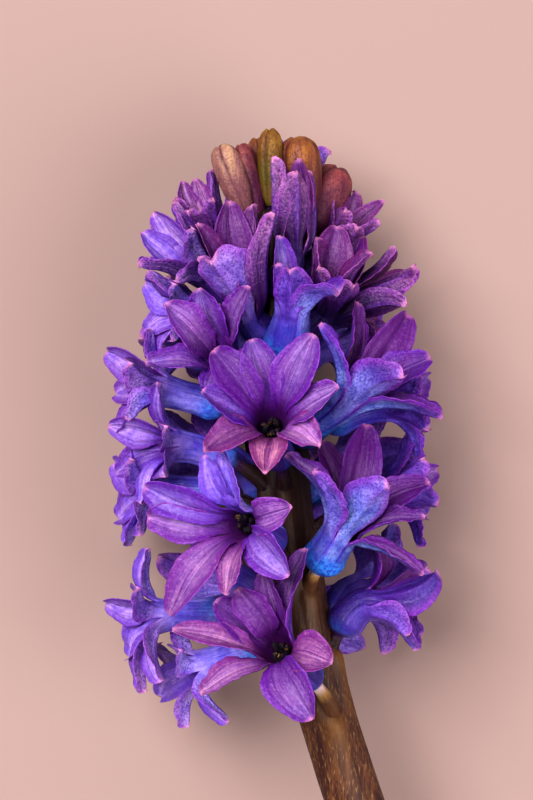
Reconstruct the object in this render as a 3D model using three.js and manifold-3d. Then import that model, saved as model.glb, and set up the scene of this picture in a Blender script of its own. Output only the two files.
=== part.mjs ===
// A cut hyacinth flower spike, lying down on the tepals of its lower side. Millimetres, +Z up.
// X runs across the spike, Y runs along it towards the buds, and the florets that show best lie on
// top. The model is laid out round the scape's axis, and then moved so that its footprint is
// centred on the origin and its lowest tepals rest on z = 0.
import * as THREE from "three";
import { mergeVertices } from "three/addons/utils/BufferGeometryUtils.js";
import Module from "manifold-3d";

const wasm = await Module();
wasm.setup();
const Vector = THREE.Vector3;
const { degToRad } = THREE.MathUtils;

// Driving dimensions
const AXIS_HEIGHT = 27.5; // scape axis above the surface that the flower lies on
const SHIFT_X = -5.6; // from the layout to the centre of the footprint
const SHIFT_Y = 42;
const WALL = 0.85; // thickness of the tube's wall and of the lobes
const RIM = 0.65; // thickness at a lobe's tip
const GAP = 0.3; // air kept between neighbouring pieces
const TUBE = 12; // length of a floret's tube
const FLOOR = 8.5; // depth of the tube's floor below its mouth
const LEAST_STALK = 2; // free length of the shortest pedicel
const LEAST_BASE = 3; // solid base of the shortest tube, below its floor
const MOUTH_OF_SIX = 3.1; // radius of the mouth with up to six lobes
const MOUTH_OF_EIGHT = 3.4; // and with more
const STALK = 1.15; // radius of the pedicel that carries a floret
const STALK_LEAN = 0.35; // lean of the pedicel towards the buds where it leaves the scape
const STALK_REACH = 0.9; // strength of its bend there, as a share of its span
const STALK_SEAT = 0.9; // its foot starts at this share of the scape's radius
const TUBE_STEPS = 32; // samples of the line from the scape to a mouth

// Outside and inside of a tube: distance back from the mouth, and radius
const TUBE_NECK = { behind: 0.9, radius: STALK }; // past the tube's own length
const TUBE_SHOULDER = { ahead: 1.2, radius: 2.7 };
const TUBE_WAIST = { back: 4.2, radius: 2.8 };
const BORE_TOP = { back: 3.2, radius: 2.2 };
const BORE_FLOOR = 1.5; // radius of the tube's floor
const FOOT_SPREAD = 1.4; // the pedicel's foot is this much wider than the pedicel

// Lobes
const LOBE_ROWS = [0, 0.22, 0.5, 0.82, 1]; // the last one is the tip, a single edge
const LOBE_COLUMNS = [-1, 0, 1];
const WHORL = 0.3; // the two whorls of lobes stand this far in front of and behind the mean
const WHORL_FULL = 0.22; // share of the lobe by which it has reached that offset
const EDGE_GAP = 0.45; // kept between a lobe's edge and the middle of the space beside it
const LEAST_WIDTH = 0.45; // half width at the very tip
const CUP = 0.25; // depth of a lobe's channel, as a share of its half width
const LAUNCH = 12; // degrees by which a lobe leaves the mouth off the tube's own direction
const LAUNCH_REACH = 1.05; // strength of the lobe's bend at its base, as a share of its chord
const TIP_REACH = 0.95; // and at its tip
const FREE = 0.3; // share of the lobe over which its section turns from the tube's to its own
const SWELL = [0.05, 0.5]; // where it starts to widen, and over what share of it
const BLUNT_FROM = 0.5; // where it starts to narrow towards the tip
const BLUNT_POWER = 2.3;
const BLUNT_ROOT = 0.62;

// Anthers round the pistil: distance back from the mouth, radius at an anther and between two
const STAMEN_RINGS = [
  [FLOOR - GAP, 0.75, 0.75],
  [3.4, 0.9, 0.7],
  [1.6, 1.75, 0.65],
  [0.4, 1.3, 0.5],
];
const STAMENS = 6;

// The scape leans and tapers: y, x of its axis, radius
const SCAPE = [
  [-138, 36.5, 6.3],
  [-107, 26.5, 6.15],
  [-76.6, 16.4, 6.0],
  [-63.3, 12.2, 5.85],
  [-48, 7.9, 5.6],
  [-31.2, 5.1, 5.3],
  [-16, 3.2, 5.0],
  [0, 1.6, 4.75],
  [14, 0.9, 4.5],
  [28, 0.9, 4.0],
  [38, 1.4, 3.3],
];
const SCAPE_SIDES = 12;
const SCAPE_RIDGE = 0.03; // the section is slightly five-cornered

// Florets that show, in the order in which they keep their shape where two meet. mouth: centre of
// the tube's mouth. face: its yaw from straight up towards +X and its rise towards +Y, in degrees.
// foot: the angle round the scape and the y at which its stalk starts. curl: backward curl of the
// tips, in degrees. tips: each lobe's tip from the mouth's centre, clockwise seen from in front,
// then the lobe's half width, and its own curl where that differs.
const SHOWN = [
  {
    name: "front_centre",
    mouth: [0.9, -4.7, 17],
    face: [-2, 27],
    foot: [0, -18],
    curl: 35,
    tips: [
      [-3.9, 16.2, 1, 3.8],
      [8, 16.8, 1.5, 3.9],
      [13, 7, 6.5, 3.4],
      [9.1, -4.7, 9, 3.4],
      [-1.2, -9.4, 11, 3.3],
      [-12.4, -5.7, 8, 3.4],
      [-13.4, 6, 5, 3.4],
      [-10.9, 13.8, 1, 4.2],
    ],
  },
  {
    name: "front_left",
    mouth: [-4.6, -23.9, 17],
    face: [-32, 0],
    foot: [-15, -34],
    curl: 35,
    tips: [
      [-7, 13.3, 4, 2.6],
      [-3, 14, 3, 2.9],
      [9.5, 3.5, 9, 3.2],
      [9.1, -9.3, 8, 3.6],
      [-2.7, -13.4, 7, 2.9],
      [-13, -17.8, -2, 3.6],
      [-18.2, 1.2, -3, 4],
      [-18.2, 7, -3, 3.8],
    ],
  },
  {
    name: "front_low",
    mouth: [2.4, -48.5, 16],
    face: [-28, 28],
    foot: [10, -63],
    curl: 40,
    tips: [
      [-2.7, 15.3, 2, 3.4],
      [5.6, 18.8, 1, 2.8],
      [10.1, -1.9, 8, 4],
      [6.6, -12, 9, 4.2],
      [-14.7, -8.1, 7, 3.4],
      [-20, 3.8, 3.5, 2.6],
      [-12.2, 9.5, 1.5, 3.6],
      [-7.8, 12, 3, 3.8],
    ],
  },
  {
    name: "front_right",
    mouth: [15.2, -24.7, 13],
    face: [40, 48],
    foot: [25, -38],
    curl: 40,
    tips: [
      [-5.4, 15.9, -3, 3.6],
      [3.9, 19, -6, 3.8],
      [16.7, 8, -2, 3.2],
      [15.2, 1, 2, 3.2],
      [14.6, -9.3, 4, 3.4],
      [7.8, 7.2, 11, 4.2],
      [-6.4, 10.9, 10.5, 3],
      [-12, 13, 5, 3],
    ],
  },
  {
    name: "right_upper",
    mouth: [16.6, 1, 11],
    face: [50, 38],
    foot: [40, -10],
    curl: 40,
    tips: [
      [0.8, 18.1, -4, 2.8],
      [10.5, 15.4, -8, 3.8],
      [15.6, 6.9, -4, 3.8],
      [16.8, -5.4, 3, 3.6],
      [9.4, 3.2, 12, 4],
      [-7.1, 12.9, 7, 2.6],
    ],
  },
  {
    name: "bell",
    mouth: [5, 17.2, 12.5],
    face: [8, 62],
    foot: [5, 4],
    curl: 30,
    tips: [
      [-3.1, 14.6, 2, 2.4],
      [1.5, 12, -3, 2.6],
      [5, 9.5, 2, 2.6],
      [8, 2.3, 7, 3.8, 85],
      [-1, 9, 8.5, 2.9],
      [-7.5, 6, 4, 2.2],
    ],
  },
  {
    name: "left_upper",
    mouth: [-8.8, 8.3, 12],
    face: [-32, 35],
    foot: [-30, -3],
    curl: 30,
    tips: [
      [-4.1, 13.5, 2, 3.8],
      [6.1, 13.3, 3, 3.3],
      [5, -2, 4, 3],
      [-2, -7.5, 4, 2.8],
      [-14.6, -1.6, 3, 3.4],
      [-11.3, 9.8, 3, 4],
    ],
  },
  {
    name: "crown_left",
    mouth: [-4.6, 22.8, 11],
    face: [-14, 55],
    foot: [-5, 11],
    curl: 30,
    tips: [
      [-2.9, 16.2, -3, 3.4],
      [3.2, 15.2, -2, 2.8],
      [4.7, 10, 6, 2.8],
      [-3.7, 7, 10, 4.2, 60],
      [-8.8, 4.5, 5, 2.8],
      [-9.5, 11, 0, 2.4],
    ],
  },
  {
    name: "crown_right",
    mouth: [13, 23, 5],
    face: [42, 50],
    foot: [36, 11],
    curl: 35,
    tips: [
      [-3.8, 9, 1, 3],
      [0.6, 11, -4, 3.8],
      [6, 9.5, -5, 3.4],
      [7.8, 4.8, 2, 2.6, 60],
      [5.5, -1.5, 5, 2.8],
      [-3.5, 2, 6.5, 2.1],
    ],
  },
  {
    name: "top_bell",
    mouth: [5.3, 33, 7.5],
    face: [8, 78],
    foot: [5, 20],
    curl: 15,
    tips: [
      [-3.5, 13.6, -3, 3],
      [1.4, 15, -3, 3.2],
      [4.8, 12, 0, 3],
      [1.4, 12.4, 4, 3.4],
      [-4.6, 15, 1, 3],
    ],
  },
  {
    name: "right_top",
    mouth: [16, 34, -3],
    face: [72, 50],
    foot: [66, 22],
    curl: 25,
    tips: [
      [-3.5, 6.5, 2, 2.4],
      [1, 8, -4, 2.6],
      [7.7, 6, -3, 1.8],
      [7, 0.5, 1, 2.8],
      [2, 0, 7, 2.6],
      [-1, 3, 7, 2.4],
    ],
  },
  {
    name: "right_crown",
    mouth: [18.5, 19.5, -1],
    face: [75, 22],
    foot: [70, 10],
    curl: 50,
    tips: [
      [6.5, 11.3, 0, 3],
      [8, 6, -9, 3],
      [5, -6, -8, 3],
      [3, -10, 2, 3],
      [8.8, -1, 7, 2.8],
      [9.6, 6.5, 6, 2.8, 80],
    ],
  },
  {
    name: "left_top",
    mouth: [-12.5, 36, 0],
    face: [-60, 55],
    foot: [-60, 24],
    curl: 20,
    tips: [
      [2, 10, 0, 2.8],
      [2.5, 3, 6, 2.6],
      [-3, 1, 7, 2.6],
      [-6.5, 3, 2, 2.8],
      [-4.8, 7.8, -3, 2.6],
      [-1.4, 8, -5, 2.6],
    ],
  },
  {
    name: "left_crown",
    mouth: [-15.5, 28, 4],
    face: [-62, 35],
    foot: [-60, 16],
    curl: 30,
    tips: [
      [-2.2, 11.4, 0, 3.2],
      [2, 5, 8, 3],
      [-2, -5, 8, 3],
      [-9.5, -2.5, 3, 3.6],
      [-9.5, 5, -3, 3.4],
      [-6, 9.5, -5, 3.2],
    ],
  },
  {
    name: "left_shoulder",
    mouth: [-16, 17.5, 4],
    face: [-68, 12],
    foot: [-58, 6],
    curl: 35,
    tips: [
      [-7, 8.2, 2, 3.4],
      [-1, 5, 9, 2.8],
      [-2, -6, 8, 2.8],
      [-4, -10, 0, 3],
      [-8, -4, -6, 3],
      [-7, 6, -8, 3],
    ],
  },
  {
    name: "left_side",
    mouth: [-20.6, 2, 2],
    face: [-78, 18],
    foot: [-78, -6],
    curl: 40,
    tips: [
      [-2.3, 12, 0, 2.6],
      [-5, 5, 10, 3.2],
      [-6.5, -6, 5, 3],
      [-7.5, -9, -1, 3.2],
      [-9.3, -1, -8, 3.4],
      [-10.1, 7.8, -5, 3.4],
    ],
  },
  {
    name: "left_inner",
    mouth: [-18.5, -9, 5],
    face: [-62, 5],
    foot: [-54, -18],
    curl: 30,
    tips: [
      [-2.4, 12.4, 4, 2.4],
      [0, 4, 10.5, 2.8],
      [-1, -6, 10, 2.8],
      [-5, -11.5, 1, 3],
      [-11, -6, -6, 3],
      [-12, 4, -4, 3],
    ],
  },
  {
    name: "left_mid",
    mouth: [-21.5, -18, -1],
    face: [-80, 0],
    foot: [-80, -24],
    curl: 40,
    tips: [
      [-5, 11, -1, 3],
      [-4, 6, 9, 3],
      [-3, -8.7, 7, 3.2],
      [-5, -11, -2, 3.2],
      [-8, -6.3, -8, 3.4],
      [-8, 5, -9, 3.2],
    ],
  },
  {
    name: "left_low",
    mouth: [-21, -43, 2],
    face: [-78, -5],
    foot: [-75, -48],
    curl: 45,
    tips: [
      [-2.1, 13.2, 1, 2.8],
      [-3, 6, 10, 3],
      [0.7, -12, 8, 3.2],
      [-2.3, -14.6, -1, 3.2],
      [-6, -9, -6, 3.4],
      [-10.1, 2.8, -6, 2.8],
    ],
  },
  {
    name: "left_base",
    mouth: [-13, -53.5, -3],
    face: [-95, -20],
    foot: [-95, -51],
    curl: 50,
    tips: [
      [-3, 10, -3, 3],
      [-3, 4, 9, 2.8],
      [5.5, -10.3, 3, 2.4],
      [-2, -12, -3, 3],
      [-8, -7, -8, 3],
      [-8, 4, -9, 3],
    ],
  },
  {
    name: "right_low",
    mouth: [23, -38, 1],
    face: [70, 8],
    foot: [66, -50],
    curl: 45,
    tips: [
      [2, 10.3, 0, 3.2],
      [9.9, 4.8, -6, 3.4],
      [7, -5, -8, 3.2],
      [5.9, -11.4, 0, 3.2],
      [5, -5, 9, 3],
      [3, 4, 10, 3],
    ],
  },
  {
    name: "right_mid",
    mouth: [24, -19, -4],
    face: [85, 15],
    foot: [82, -27],
    curl: 45,
    tips: [
      [4, 12, -2, 3.2],
      [9.3, 5, -7, 3.2],
      [8, -5, -9, 3.2],
      [5.7, -10.5, 0, 3],
      [9.7, -2, 7, 3],
      [6, 7, 8, 3],
    ],
  },
  {
    name: "right_side",
    mouth: [23.5, -1, -3],
    face: [85, 12],
    foot: [78, -10],
    curl: 45,
    tips: [
      [4, 12, -2, 3.4],
      [8, 6, -8, 3.2],
      [8, -5, -8, 3.2],
      [6, -11, 0, 3],
      [8, -5, 8, 3],
      [5, 6, 8, 3],
    ],
  },
];

// Florets of the lower side, placed by rule: name, y of the mouth, angle round the scape, rise, and
// the mouth's distance from the scape's axis
const LOWER = [
  ["under_low", -49, 178, 0, 18.2],
  ["under_mid", -25, 180, 4, 18.1],
  ["under_high", -1, 180, 4, 17.5],
  ["under_crown", 22, 180, 20, 15.5],
  ["under_top", 38, 178, 50, 11.8],
  ["under_low_right", -39, 128, 0, 14],
  ["under_mid_right", -13, 132, 8, 15.5],
  ["under_crown_right", 11, 130, 16, 14],
  ["under_low_left", -37, 224, -4, 17],
  ["under_mid_left", -12, 232, 8, 14],
  ["under_crown_left", 12, 230, 16, 14],
];
const LOWER_LOBES = 6;
const LOWER_LOBE = 13.5; // chord of a lobe
const LOWER_LOBE_SPREAD = 0.03; // and the share by which it varies
const LOWER_WIDTH = 3.5; // half width of a lobe
const LOWER_FLARE = 52; // degrees between a lobe's chord and the way the floret faces
const LOWER_FLARE_SPREAD = 3;
const LOWER_TURN_SPREAD = 0.5; // turn of the first lobe about the tube, in radians
const LOWER_CURL = 40;
const LOWER_DROP = 9; // from the mouth back along the spike to the stalk's foot

// Closed buds at the top: name, foot, tip, greatest radius, colour
const BUDS = [
  { name: "tip", foot: [1, 38.6, 1.8], tip: [0.9, 54, 1.5], radius: 2.5, colour: 0x9a7a20 },
  { name: "tip_left", foot: [-0.4, 38.6, -2], tip: [-2, 52.6, -3.4], radius: 2.3, colour: 0xa87a3c },
  { name: "ochre", foot: [5, 36.5, -0.5], tip: [6.4, 52.5, 0.5], radius: 3.6, colour: 0xa0662a },
  { name: "cream", foot: [-2.4, 37, 2.2], tip: [-8.9, 50.6, 3.5], radius: 3.0, colour: 0xc49a8c },
  { name: "russet", foot: [-2.6, 34.5, -2.8], tip: [-8, 49.4, -6], radius: 2.7, colour: 0x8c4c50 },
  { name: "red", foot: [5.2, 31, -3.2], tip: [15.5, 46.5, -7], radius: 3.0, colour: 0x8c3f48 },
  { name: "under", foot: [2.6, 38.4, -3.2], tip: [3, 51, -6], radius: 2.4, colour: 0x8c5c40 },
];

// Florets open far enough to show their anthers
const OPEN = [
  "front_centre",
  "front_left",
  "front_low",
  "right_upper",
  "left_upper",
  "crown_left",
  "left_side",
  "left_mid",
  "left_low",
  "right_low",
  "right_mid",
  "right_side",
];

// An even spread between -1 and 1 for the k-th draw
function spread(k) {
  return 2 * ((k * 0.7548776662 + 0.37) % 1) - 1;
}

function smooth(x) {
  const c = Math.min(Math.max(x, 0), 1);
  return c * c * (3 - 2 * c);
}

// Value at x of a piecewise straight line through [x, y] pairs
function along(pairs, x) {
  if (x <= pairs[0][0]) return pairs[0][1];
  for (let i = 1; i < pairs.length; i++) {
    const [x0, y0] = pairs[i - 1];
    const [x1, y1] = pairs[i];
    if (x <= x1) return y0 + ((y1 - y0) * (x - x0)) / (x1 - x0);
  }
  return pairs[pairs.length - 1][1];
}

const axisX = (y) => along(SCAPE.map(([sy, sx]) => [sy, sx]), y);
const scapeRadius = (y) => along(SCAPE.map(([sy, , r]) => [sy, r]), y);

// Weighted sum of vectors: sum([v, 2], [w, -1])
function sum(...terms) {
  const out = new Vector();
  for (const [v, s] of terms) out.addScaledVector(v, s);
  return out;
}

function direction(yaw, rise) {
  const a = degToRad(yaw);
  const e = degToRad(rise);
  return new Vector(Math.cos(e) * Math.sin(a), Math.sin(e), Math.cos(e) * Math.cos(a));
}

// Point and unit tangent at s of the cubic from p0 to p1 with end tangents t0 and t1
function hermite(p0, t0, p1, t1, s) {
  const q = s * s;
  const c = q * s;
  return {
    point: sum([p0, 2 * c - 3 * q + 1], [t0, c - 2 * q + s], [p1, 3 * q - 2 * c], [t1, c - q]),
    tangent: sum(
      [p0, 6 * q - 6 * s],
      [t0, 3 * q - 4 * s + 1],
      [p1, 6 * s - 6 * q],
      [t1, 3 * q - 2 * s],
    ).normalize(),
  };
}

// A closed surface put together from rings and strips, then turned into a solid
class Skin {
  constructor() {
    this.points = [];
    this.faces = [];
  }
  add(point) {
    return this.points.push(point) - 1;
  }
  // The quad a b c d is split along a-c, or along b-d if other is set
  quad(a, b, c, d, other = false) {
    if (other) this.faces.push([a, b, d], [b, c, d]);
    else this.faces.push([a, b, c], [a, c, d]);
  }
  // Band between two closed rings of the same count, facing out when upper lies ahead of lower
  band(lower, upper) {
    const n = lower.length;
    for (let i = 0; i < n; i++) {
      const j = (i + 1) % n;
      this.quad(lower[i], lower[j], upper[j], upper[i]);
    }
  }
  // Fan from a ring to a pole: behind the ring, or ahead of it
  fan(ring, pole, ahead) {
    const n = ring.length;
    for (let i = 0; i < n; i++) {
      const j = (i + 1) % n;
      this.faces.push(ahead ? [ring[i], ring[j], pole] : [ring[j], ring[i], pole]);
    }
  }
  solid() {
    const geometry = new THREE.BufferGeometry();
    geometry.setAttribute(
      "position",
      new THREE.Float32BufferAttribute(
        this.points.flatMap((p) => p.toArray()),
        3,
      ),
    );
    geometry.setIndex(this.faces.flat());
    return solidOf(geometry);
  }
}

function solidOf(geometry) {
  geometry.deleteAttribute("normal");
  geometry.deleteAttribute("uv");
  const merged = mergeVertices(geometry, 1e-4);
  const made = new wasm.Manifold(
    new wasm.Mesh({
      numProp: 3,
      vertProperties: merged.attributes.position.array,
      triVerts: new Uint32Array(merged.index.array),
    }),
  );
  if (made.volume() > 0) return made;
  const index = new Uint32Array(merged.index.array);
  for (let i = 0; i < index.length; i += 3)
    [index[i + 1], index[i + 2]] = [index[i + 2], index[i + 1]];
  return new wasm.Manifold(
    new wasm.Mesh({
      numProp: 3,
      vertProperties: merged.attributes.position.array,
      triVerts: index,
    }),
  );
}

// Axes of a floret's mouth: facing out of the tube, upwards along the spike, and across
function mouthAxes(floret) {
  const facing = direction(...floret.face);
  const spike = new Vector(0, 1, 0);
  const up = sum([spike, 1], [facing, -spike.dot(facing)]).normalize();
  return { facing, up, across: up.clone().cross(facing) };
}

function mouthRadius(floret) {
  return floret.tips.length > 6 ? MOUTH_OF_EIGHT : MOUTH_OF_SIX;
}

// Turn of the first lobe about the tube that lets evenly spread lobes point nearest to their tips
function firstLobe(floret, { up, across }) {
  let s = 0;
  let c = 0;
  floret.tips.forEach(([x, y, z], k) => {
    const tip = new Vector(x, y, z);
    const off = Math.atan2(tip.dot(across), tip.dot(up)) - (k * 2 * Math.PI) / floret.tips.length;
    s += Math.sin(off);
    c += Math.cos(off);
  });
  return Math.atan2(s, c);
}

// Half width of a lobe at t from its base to its tip: from the sector at the mouth to its full
// width past the middle, and then round to a blunt tip
function halfWidth(base, full, t) {
  const swell = base + (full - base) * smooth((t - SWELL[0]) / SWELL[1]);
  const past = Math.max(t - BLUNT_FROM, 0) / (1 - BLUNT_FROM);
  return Math.max(swell * Math.pow(1 - Math.pow(past, BLUNT_POWER), BLUNT_ROOT), LEAST_WIDTH);
}

// Midline of a lobe from the mouth's rim to its tip, with the directions out and sideways at its
// base, and its half width and inward direction for any t
function lobeLine(floret, axes, turn, k) {
  const { facing, up, across } = axes;
  const n = floret.tips.length;
  const ring = mouthRadius(floret);
  const mouth = new Vector(...floret.mouth);
  const angle = turn + (k * 2 * Math.PI) / n;
  const e = sum([up, Math.cos(angle)], [across, Math.sin(angle)]);
  const side = sum([up, -Math.sin(angle)], [across, Math.cos(angle)]);
  const [x, y, z, full, ownCurl] = floret.tips[k];
  const base = sum([mouth, 1], [e, ring]);
  const tip = mouth.clone().add(new Vector(x, y, z));
  const chord = tip.clone().sub(base);
  const length = chord.length();
  const way = chord.clone().normalize();
  const back = sum([way, way.dot(facing)], [facing, -1]).normalize();
  const curl = degToRad(ownCurl ?? floret.curl);
  const launch = degToRad(LAUNCH);
  const start = sum([facing, Math.cos(launch)], [e, Math.sin(launch)]);
  const end = sum([way, Math.cos(curl)], [back, Math.sin(curl)]);
  const at = (t) =>
    hermite(
      base,
      start.clone().multiplyScalar(length * LAUNCH_REACH),
      tip,
      end.clone().multiplyScalar(length * TIP_REACH),
      t,
    );
  return { e, side, full, at };
}

// Rows of a lobe: for each, its points on the outer and on the inner side. A lobe is no wider
// than lets its edges pass those of its two neighbours.
function lobeRows(lines, k, ring, grow) {
  const n = lines.length;
  const { e, side, full, at } = lines[k];
  const before = lines[(k + n - 1) % n];
  const after = lines[(k + 1) % n];
  const half = Math.PI / n;
  return LOBE_ROWS.map((t) => {
    const { point, tangent } = at(t);
    const s = sum([side, 1], [tangent, -tangent.dot(side)]).normalize();
    const inward = s.clone().cross(tangent);
    const blend = smooth(t / FREE);
    const width = halfWidth(ring * Math.sin(half), full, t);
    const room = [before, after].map((line) => point.distanceTo(line.at(t).point) / 2 - EDGE_GAP);
    const offset = (k % 2 ? WHORL : -WHORL) * smooth(t / WHORL_FULL);
    const thick = (t < 1 ? WALL : RIM) / 2 + grow;
    const outer = [];
    const inner = [];
    for (const q of t < 1 ? LOBE_COLUMNS : [0]) {
      const reach = Math.min(width, room[q < 0 ? 0 : 1]) + (t > 0 ? grow : 0);
      const middle = sum(
        [point, 1],
        [side, (1 - blend) * ring * Math.sin(q * half)],
        [e, -(1 - blend) * ring * (1 - Math.cos(q * half))],
        [s, blend * reach * q],
        [inward, blend * CUP * reach * q * q + offset],
      );
      const ringIn = sum([e, -Math.cos(q * half)], [side, -Math.sin(q * half)]);
      const normal = sum([ringIn, 1 - blend], [inward, blend]).normalize();
      outer.push(sum([middle, 1], [normal, -thick]));
      inner.push(sum([middle, 1], [normal, thick]));
    }
    return { outer, inner };
  });
}

// Centre line from the scape to the mouth, read off by the distance back from the mouth
function tubeLine(floret, axes) {
  const mouth = new Vector(...floret.mouth);
  const [angle, y] = floret.foot;
  const out = new Vector(Math.sin(degToRad(angle)), 0, Math.cos(degToRad(angle)));
  const foot = new Vector(axisX(y), y, 0).addScaledVector(out, scapeRadius(y) * STALK_SEAT);
  const reach = mouth.distanceTo(foot);
  const leave = sum([out, 1], [new Vector(0, 1, 0), STALK_LEAN]).normalize();
  const samples = [];
  let back = 0;
  for (let i = TUBE_STEPS; i >= 0; i--) {
    const s = hermite(
      foot,
      leave.clone().multiplyScalar(reach * STALK_REACH),
      mouth,
      axes.facing.clone().multiplyScalar(reach),
      i / TUBE_STEPS,
    );
    if (samples.length) back += s.point.distanceTo(samples[samples.length - 1].point);
    samples.push({ ...s, back });
  }
  const at = (distance) => {
    const i = Math.max(1, samples.findIndex((s) => s.back >= distance));
    const a = samples[i - 1];
    const b = samples[i];
    const f = Math.min(Math.max((distance - a.back) / (b.back - a.back), 0), 1);
    return {
      point: a.point.clone().lerp(b.point, f),
      tangent: a.tangent.clone().lerp(b.tangent, f).normalize(),
    };
  };
  return { at, length: back };
}

// A ring of points round the centre line; radii may alternate
function ringAt(skin, line, axes, back, radii, angles) {
  const { point, tangent } = line.at(back);
  const up = sum([axes.up, 1], [tangent, -tangent.dot(axes.up)]).normalize();
  const across = up.clone().cross(tangent);
  return angles.map((angle, i) => {
    const radius = radii[i % radii.length];
    return skin.add(sum([point, 1], [up, radius * Math.cos(angle)], [across, radius * Math.sin(angle)]));
  });
}

// Depth of a tube and of its floor, both shorter where the pedicel is short
function tubeDepths(line) {
  const tube = Math.min(TUBE, line.length - LEAST_STALK);
  return { tube, floor: Math.min(FLOOR, tube - LEAST_BASE) };
}

// One floret: pedicel, tube and lobes as one closed skin, grown by the clearance if asked
function floretSolid(floret, grow = 0) {
  const axes = mouthAxes(floret);
  const turn = firstLobe(floret, axes);
  const n = floret.tips.length;
  const ring = mouthRadius(floret);
  const line = tubeLine(floret, axes);
  const { tube, floor } = tubeDepths(line);
  const skin = new Skin();
  const corners = Array.from({ length: n }, (_, k) => turn + ((k - 0.5) * 2 * Math.PI) / n);

  const outside = [
    [line.length, STALK * FOOT_SPREAD],
    [tube + TUBE_NECK.behind, TUBE_NECK.radius],
    [tube - TUBE_SHOULDER.ahead, TUBE_SHOULDER.radius],
    [TUBE_WAIST.back, TUBE_WAIST.radius],
  ].map(([back, radius]) => ringAt(skin, line, axes, back, [radius + grow], corners));
  const inside = [
    [BORE_TOP.back, BORE_TOP.radius],
    [floor, BORE_FLOOR],
  ].map(([back, radius]) => ringAt(skin, line, axes, back, [radius - grow], corners));
  const mouthOut = [];
  const mouthIn = [];
  const lobes = [];
  const lines = corners.map((_, k) => lobeLine(floret, axes, turn, k));
  for (let k = 0; k < n; k++) {
    const rows = lobeRows(lines, k, ring, grow);
    lobes.push(
      rows.map(({ outer, inner }, j) =>
        j === 0 ? null : { outer: outer.map((p) => skin.add(p)), inner: inner.map((p) => skin.add(p)) },
      ),
    );
    mouthOut.push([skin.add(rows[0].outer[0]), skin.add(rows[0].outer[1])]);
    mouthIn.push([skin.add(rows[0].inner[0]), skin.add(rows[0].inner[1])]);
  }
  const footPole = skin.add(line.at(line.length).point);
  const floorPole = skin.add(line.at(floor).point);

  skin.fan(outside[0], footPole, false);
  for (let i = 1; i < outside.length; i++) skin.band(outside[i - 1], outside[i]);
  const top = outside[outside.length - 1];
  skin.fan(inside[1], floorPole, true);
  skin.band(inside[0], inside[1]);
  for (let k = 0; k < n; k++) {
    const j = (k + 1) % n;
    const [crotch, centre] = mouthOut[k];
    const next = mouthOut[j][0];
    skin.faces.push([top[k], top[j], centre], [top[j], next, centre], [top[k], centre, crotch]);
    const [crotchIn, centreIn] = mouthIn[k];
    const nextIn = mouthIn[j][0];
    const low = inside[0];
    skin.faces.push([low[k], centreIn, low[j]], [low[j], centreIn, nextIn], [low[k], crotchIn, centreIn]);
    const rows = lobes[k];
    rows[0] = { outer: [crotch, centre, next], inner: [crotchIn, centreIn, nextIn] };
    for (let r = 1; r < rows.length - 1; r++) {
      const { outer: a, inner: b } = rows[r - 1];
      const { outer: c, inner: d } = rows[r];
      for (let u = 0; u < 2; u++) {
        skin.quad(a[u], a[u + 1], c[u + 1], c[u], u === 1);
        skin.quad(b[u + 1], b[u], d[u], d[u + 1], u === 0);
      }
      skin.quad(c[2], a[2], b[2], d[2]);
      skin.quad(a[0], c[0], d[0], b[0]);
    }
    const { outer: a, inner: b } = rows[rows.length - 2];
    const { outer: c, inner: d } = rows[rows.length - 1];
    skin.faces.push([a[0], a[1], c[0]], [a[1], a[2], c[0]], [b[1], b[0], d[0]], [b[2], b[1], d[0]]);
    skin.quad(c[0], a[2], b[2], d[0]);
    skin.quad(a[0], c[0], d[0], b[0]);
  }
  return skin.solid();
}

// Pistil with six anthers round it, standing on the tube's floor
function stamensSolid(floret) {
  const axes = mouthAxes(floret);
  const line = tubeLine(floret, axes);
  const foot = tubeDepths(line).floor - GAP;
  const skin = new Skin();
  const angles = Array.from({ length: 2 * STAMENS }, (_, i) => (i * Math.PI) / STAMENS);
  const rings = STAMEN_RINGS.map(([back, ...radii]) =>
    ringAt(skin, line, axes, Math.min(back, foot), radii, angles),
  );
  skin.fan(rings[0], skin.add(line.at(foot).point), false);
  for (let i = 1; i < rings.length; i++) skin.band(rings[i - 1], rings[i]);
  skin.fan(rings[rings.length - 1], skin.add(line.at(0).point), true);
  return skin.solid();
}

// Scape from its cut end to the top, a leaning column with a faint five-cornered section
function scapeSolid(grow = 0) {
  const skin = new Skin();
  const rings = SCAPE.map(([y, x, radius]) =>
    Array.from({ length: SCAPE_SIDES }, (_, i) => {
      const a = (i * 2 * Math.PI) / SCAPE_SIDES;
      const r = radius * (1 + SCAPE_RIDGE * Math.cos(5 * a)) + grow;
      return skin.add(new Vector(x + r * Math.sin(a), y, r * Math.cos(a)));
    }),
  );
  const [low, lowX] = SCAPE[0];
  const [high, highX] = SCAPE[SCAPE.length - 1];
  skin.fan(rings[0], skin.add(new Vector(lowX, low - grow, 0)), false);
  for (let i = 1; i < rings.length; i++) skin.band(rings[i - 1], rings[i]);
  skin.fan(rings[rings.length - 1], skin.add(new Vector(highX, high + grow, 0)), true);
  return skin.solid();
}

// Radius of a bud along its length, as shares of its length and of its greatest radius
const BUD_SHAPE = [
  [0, 0.35],
  [0.1, 0.62],
  [0.35, 0.96],
  [0.6, 1],
  [0.82, 0.78],
  [0.95, 0.4],
];
const BUD_SIDES = 9;
const BUD_SEAM = 0.06; // depth of its seams, as a share of its radius

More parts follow.
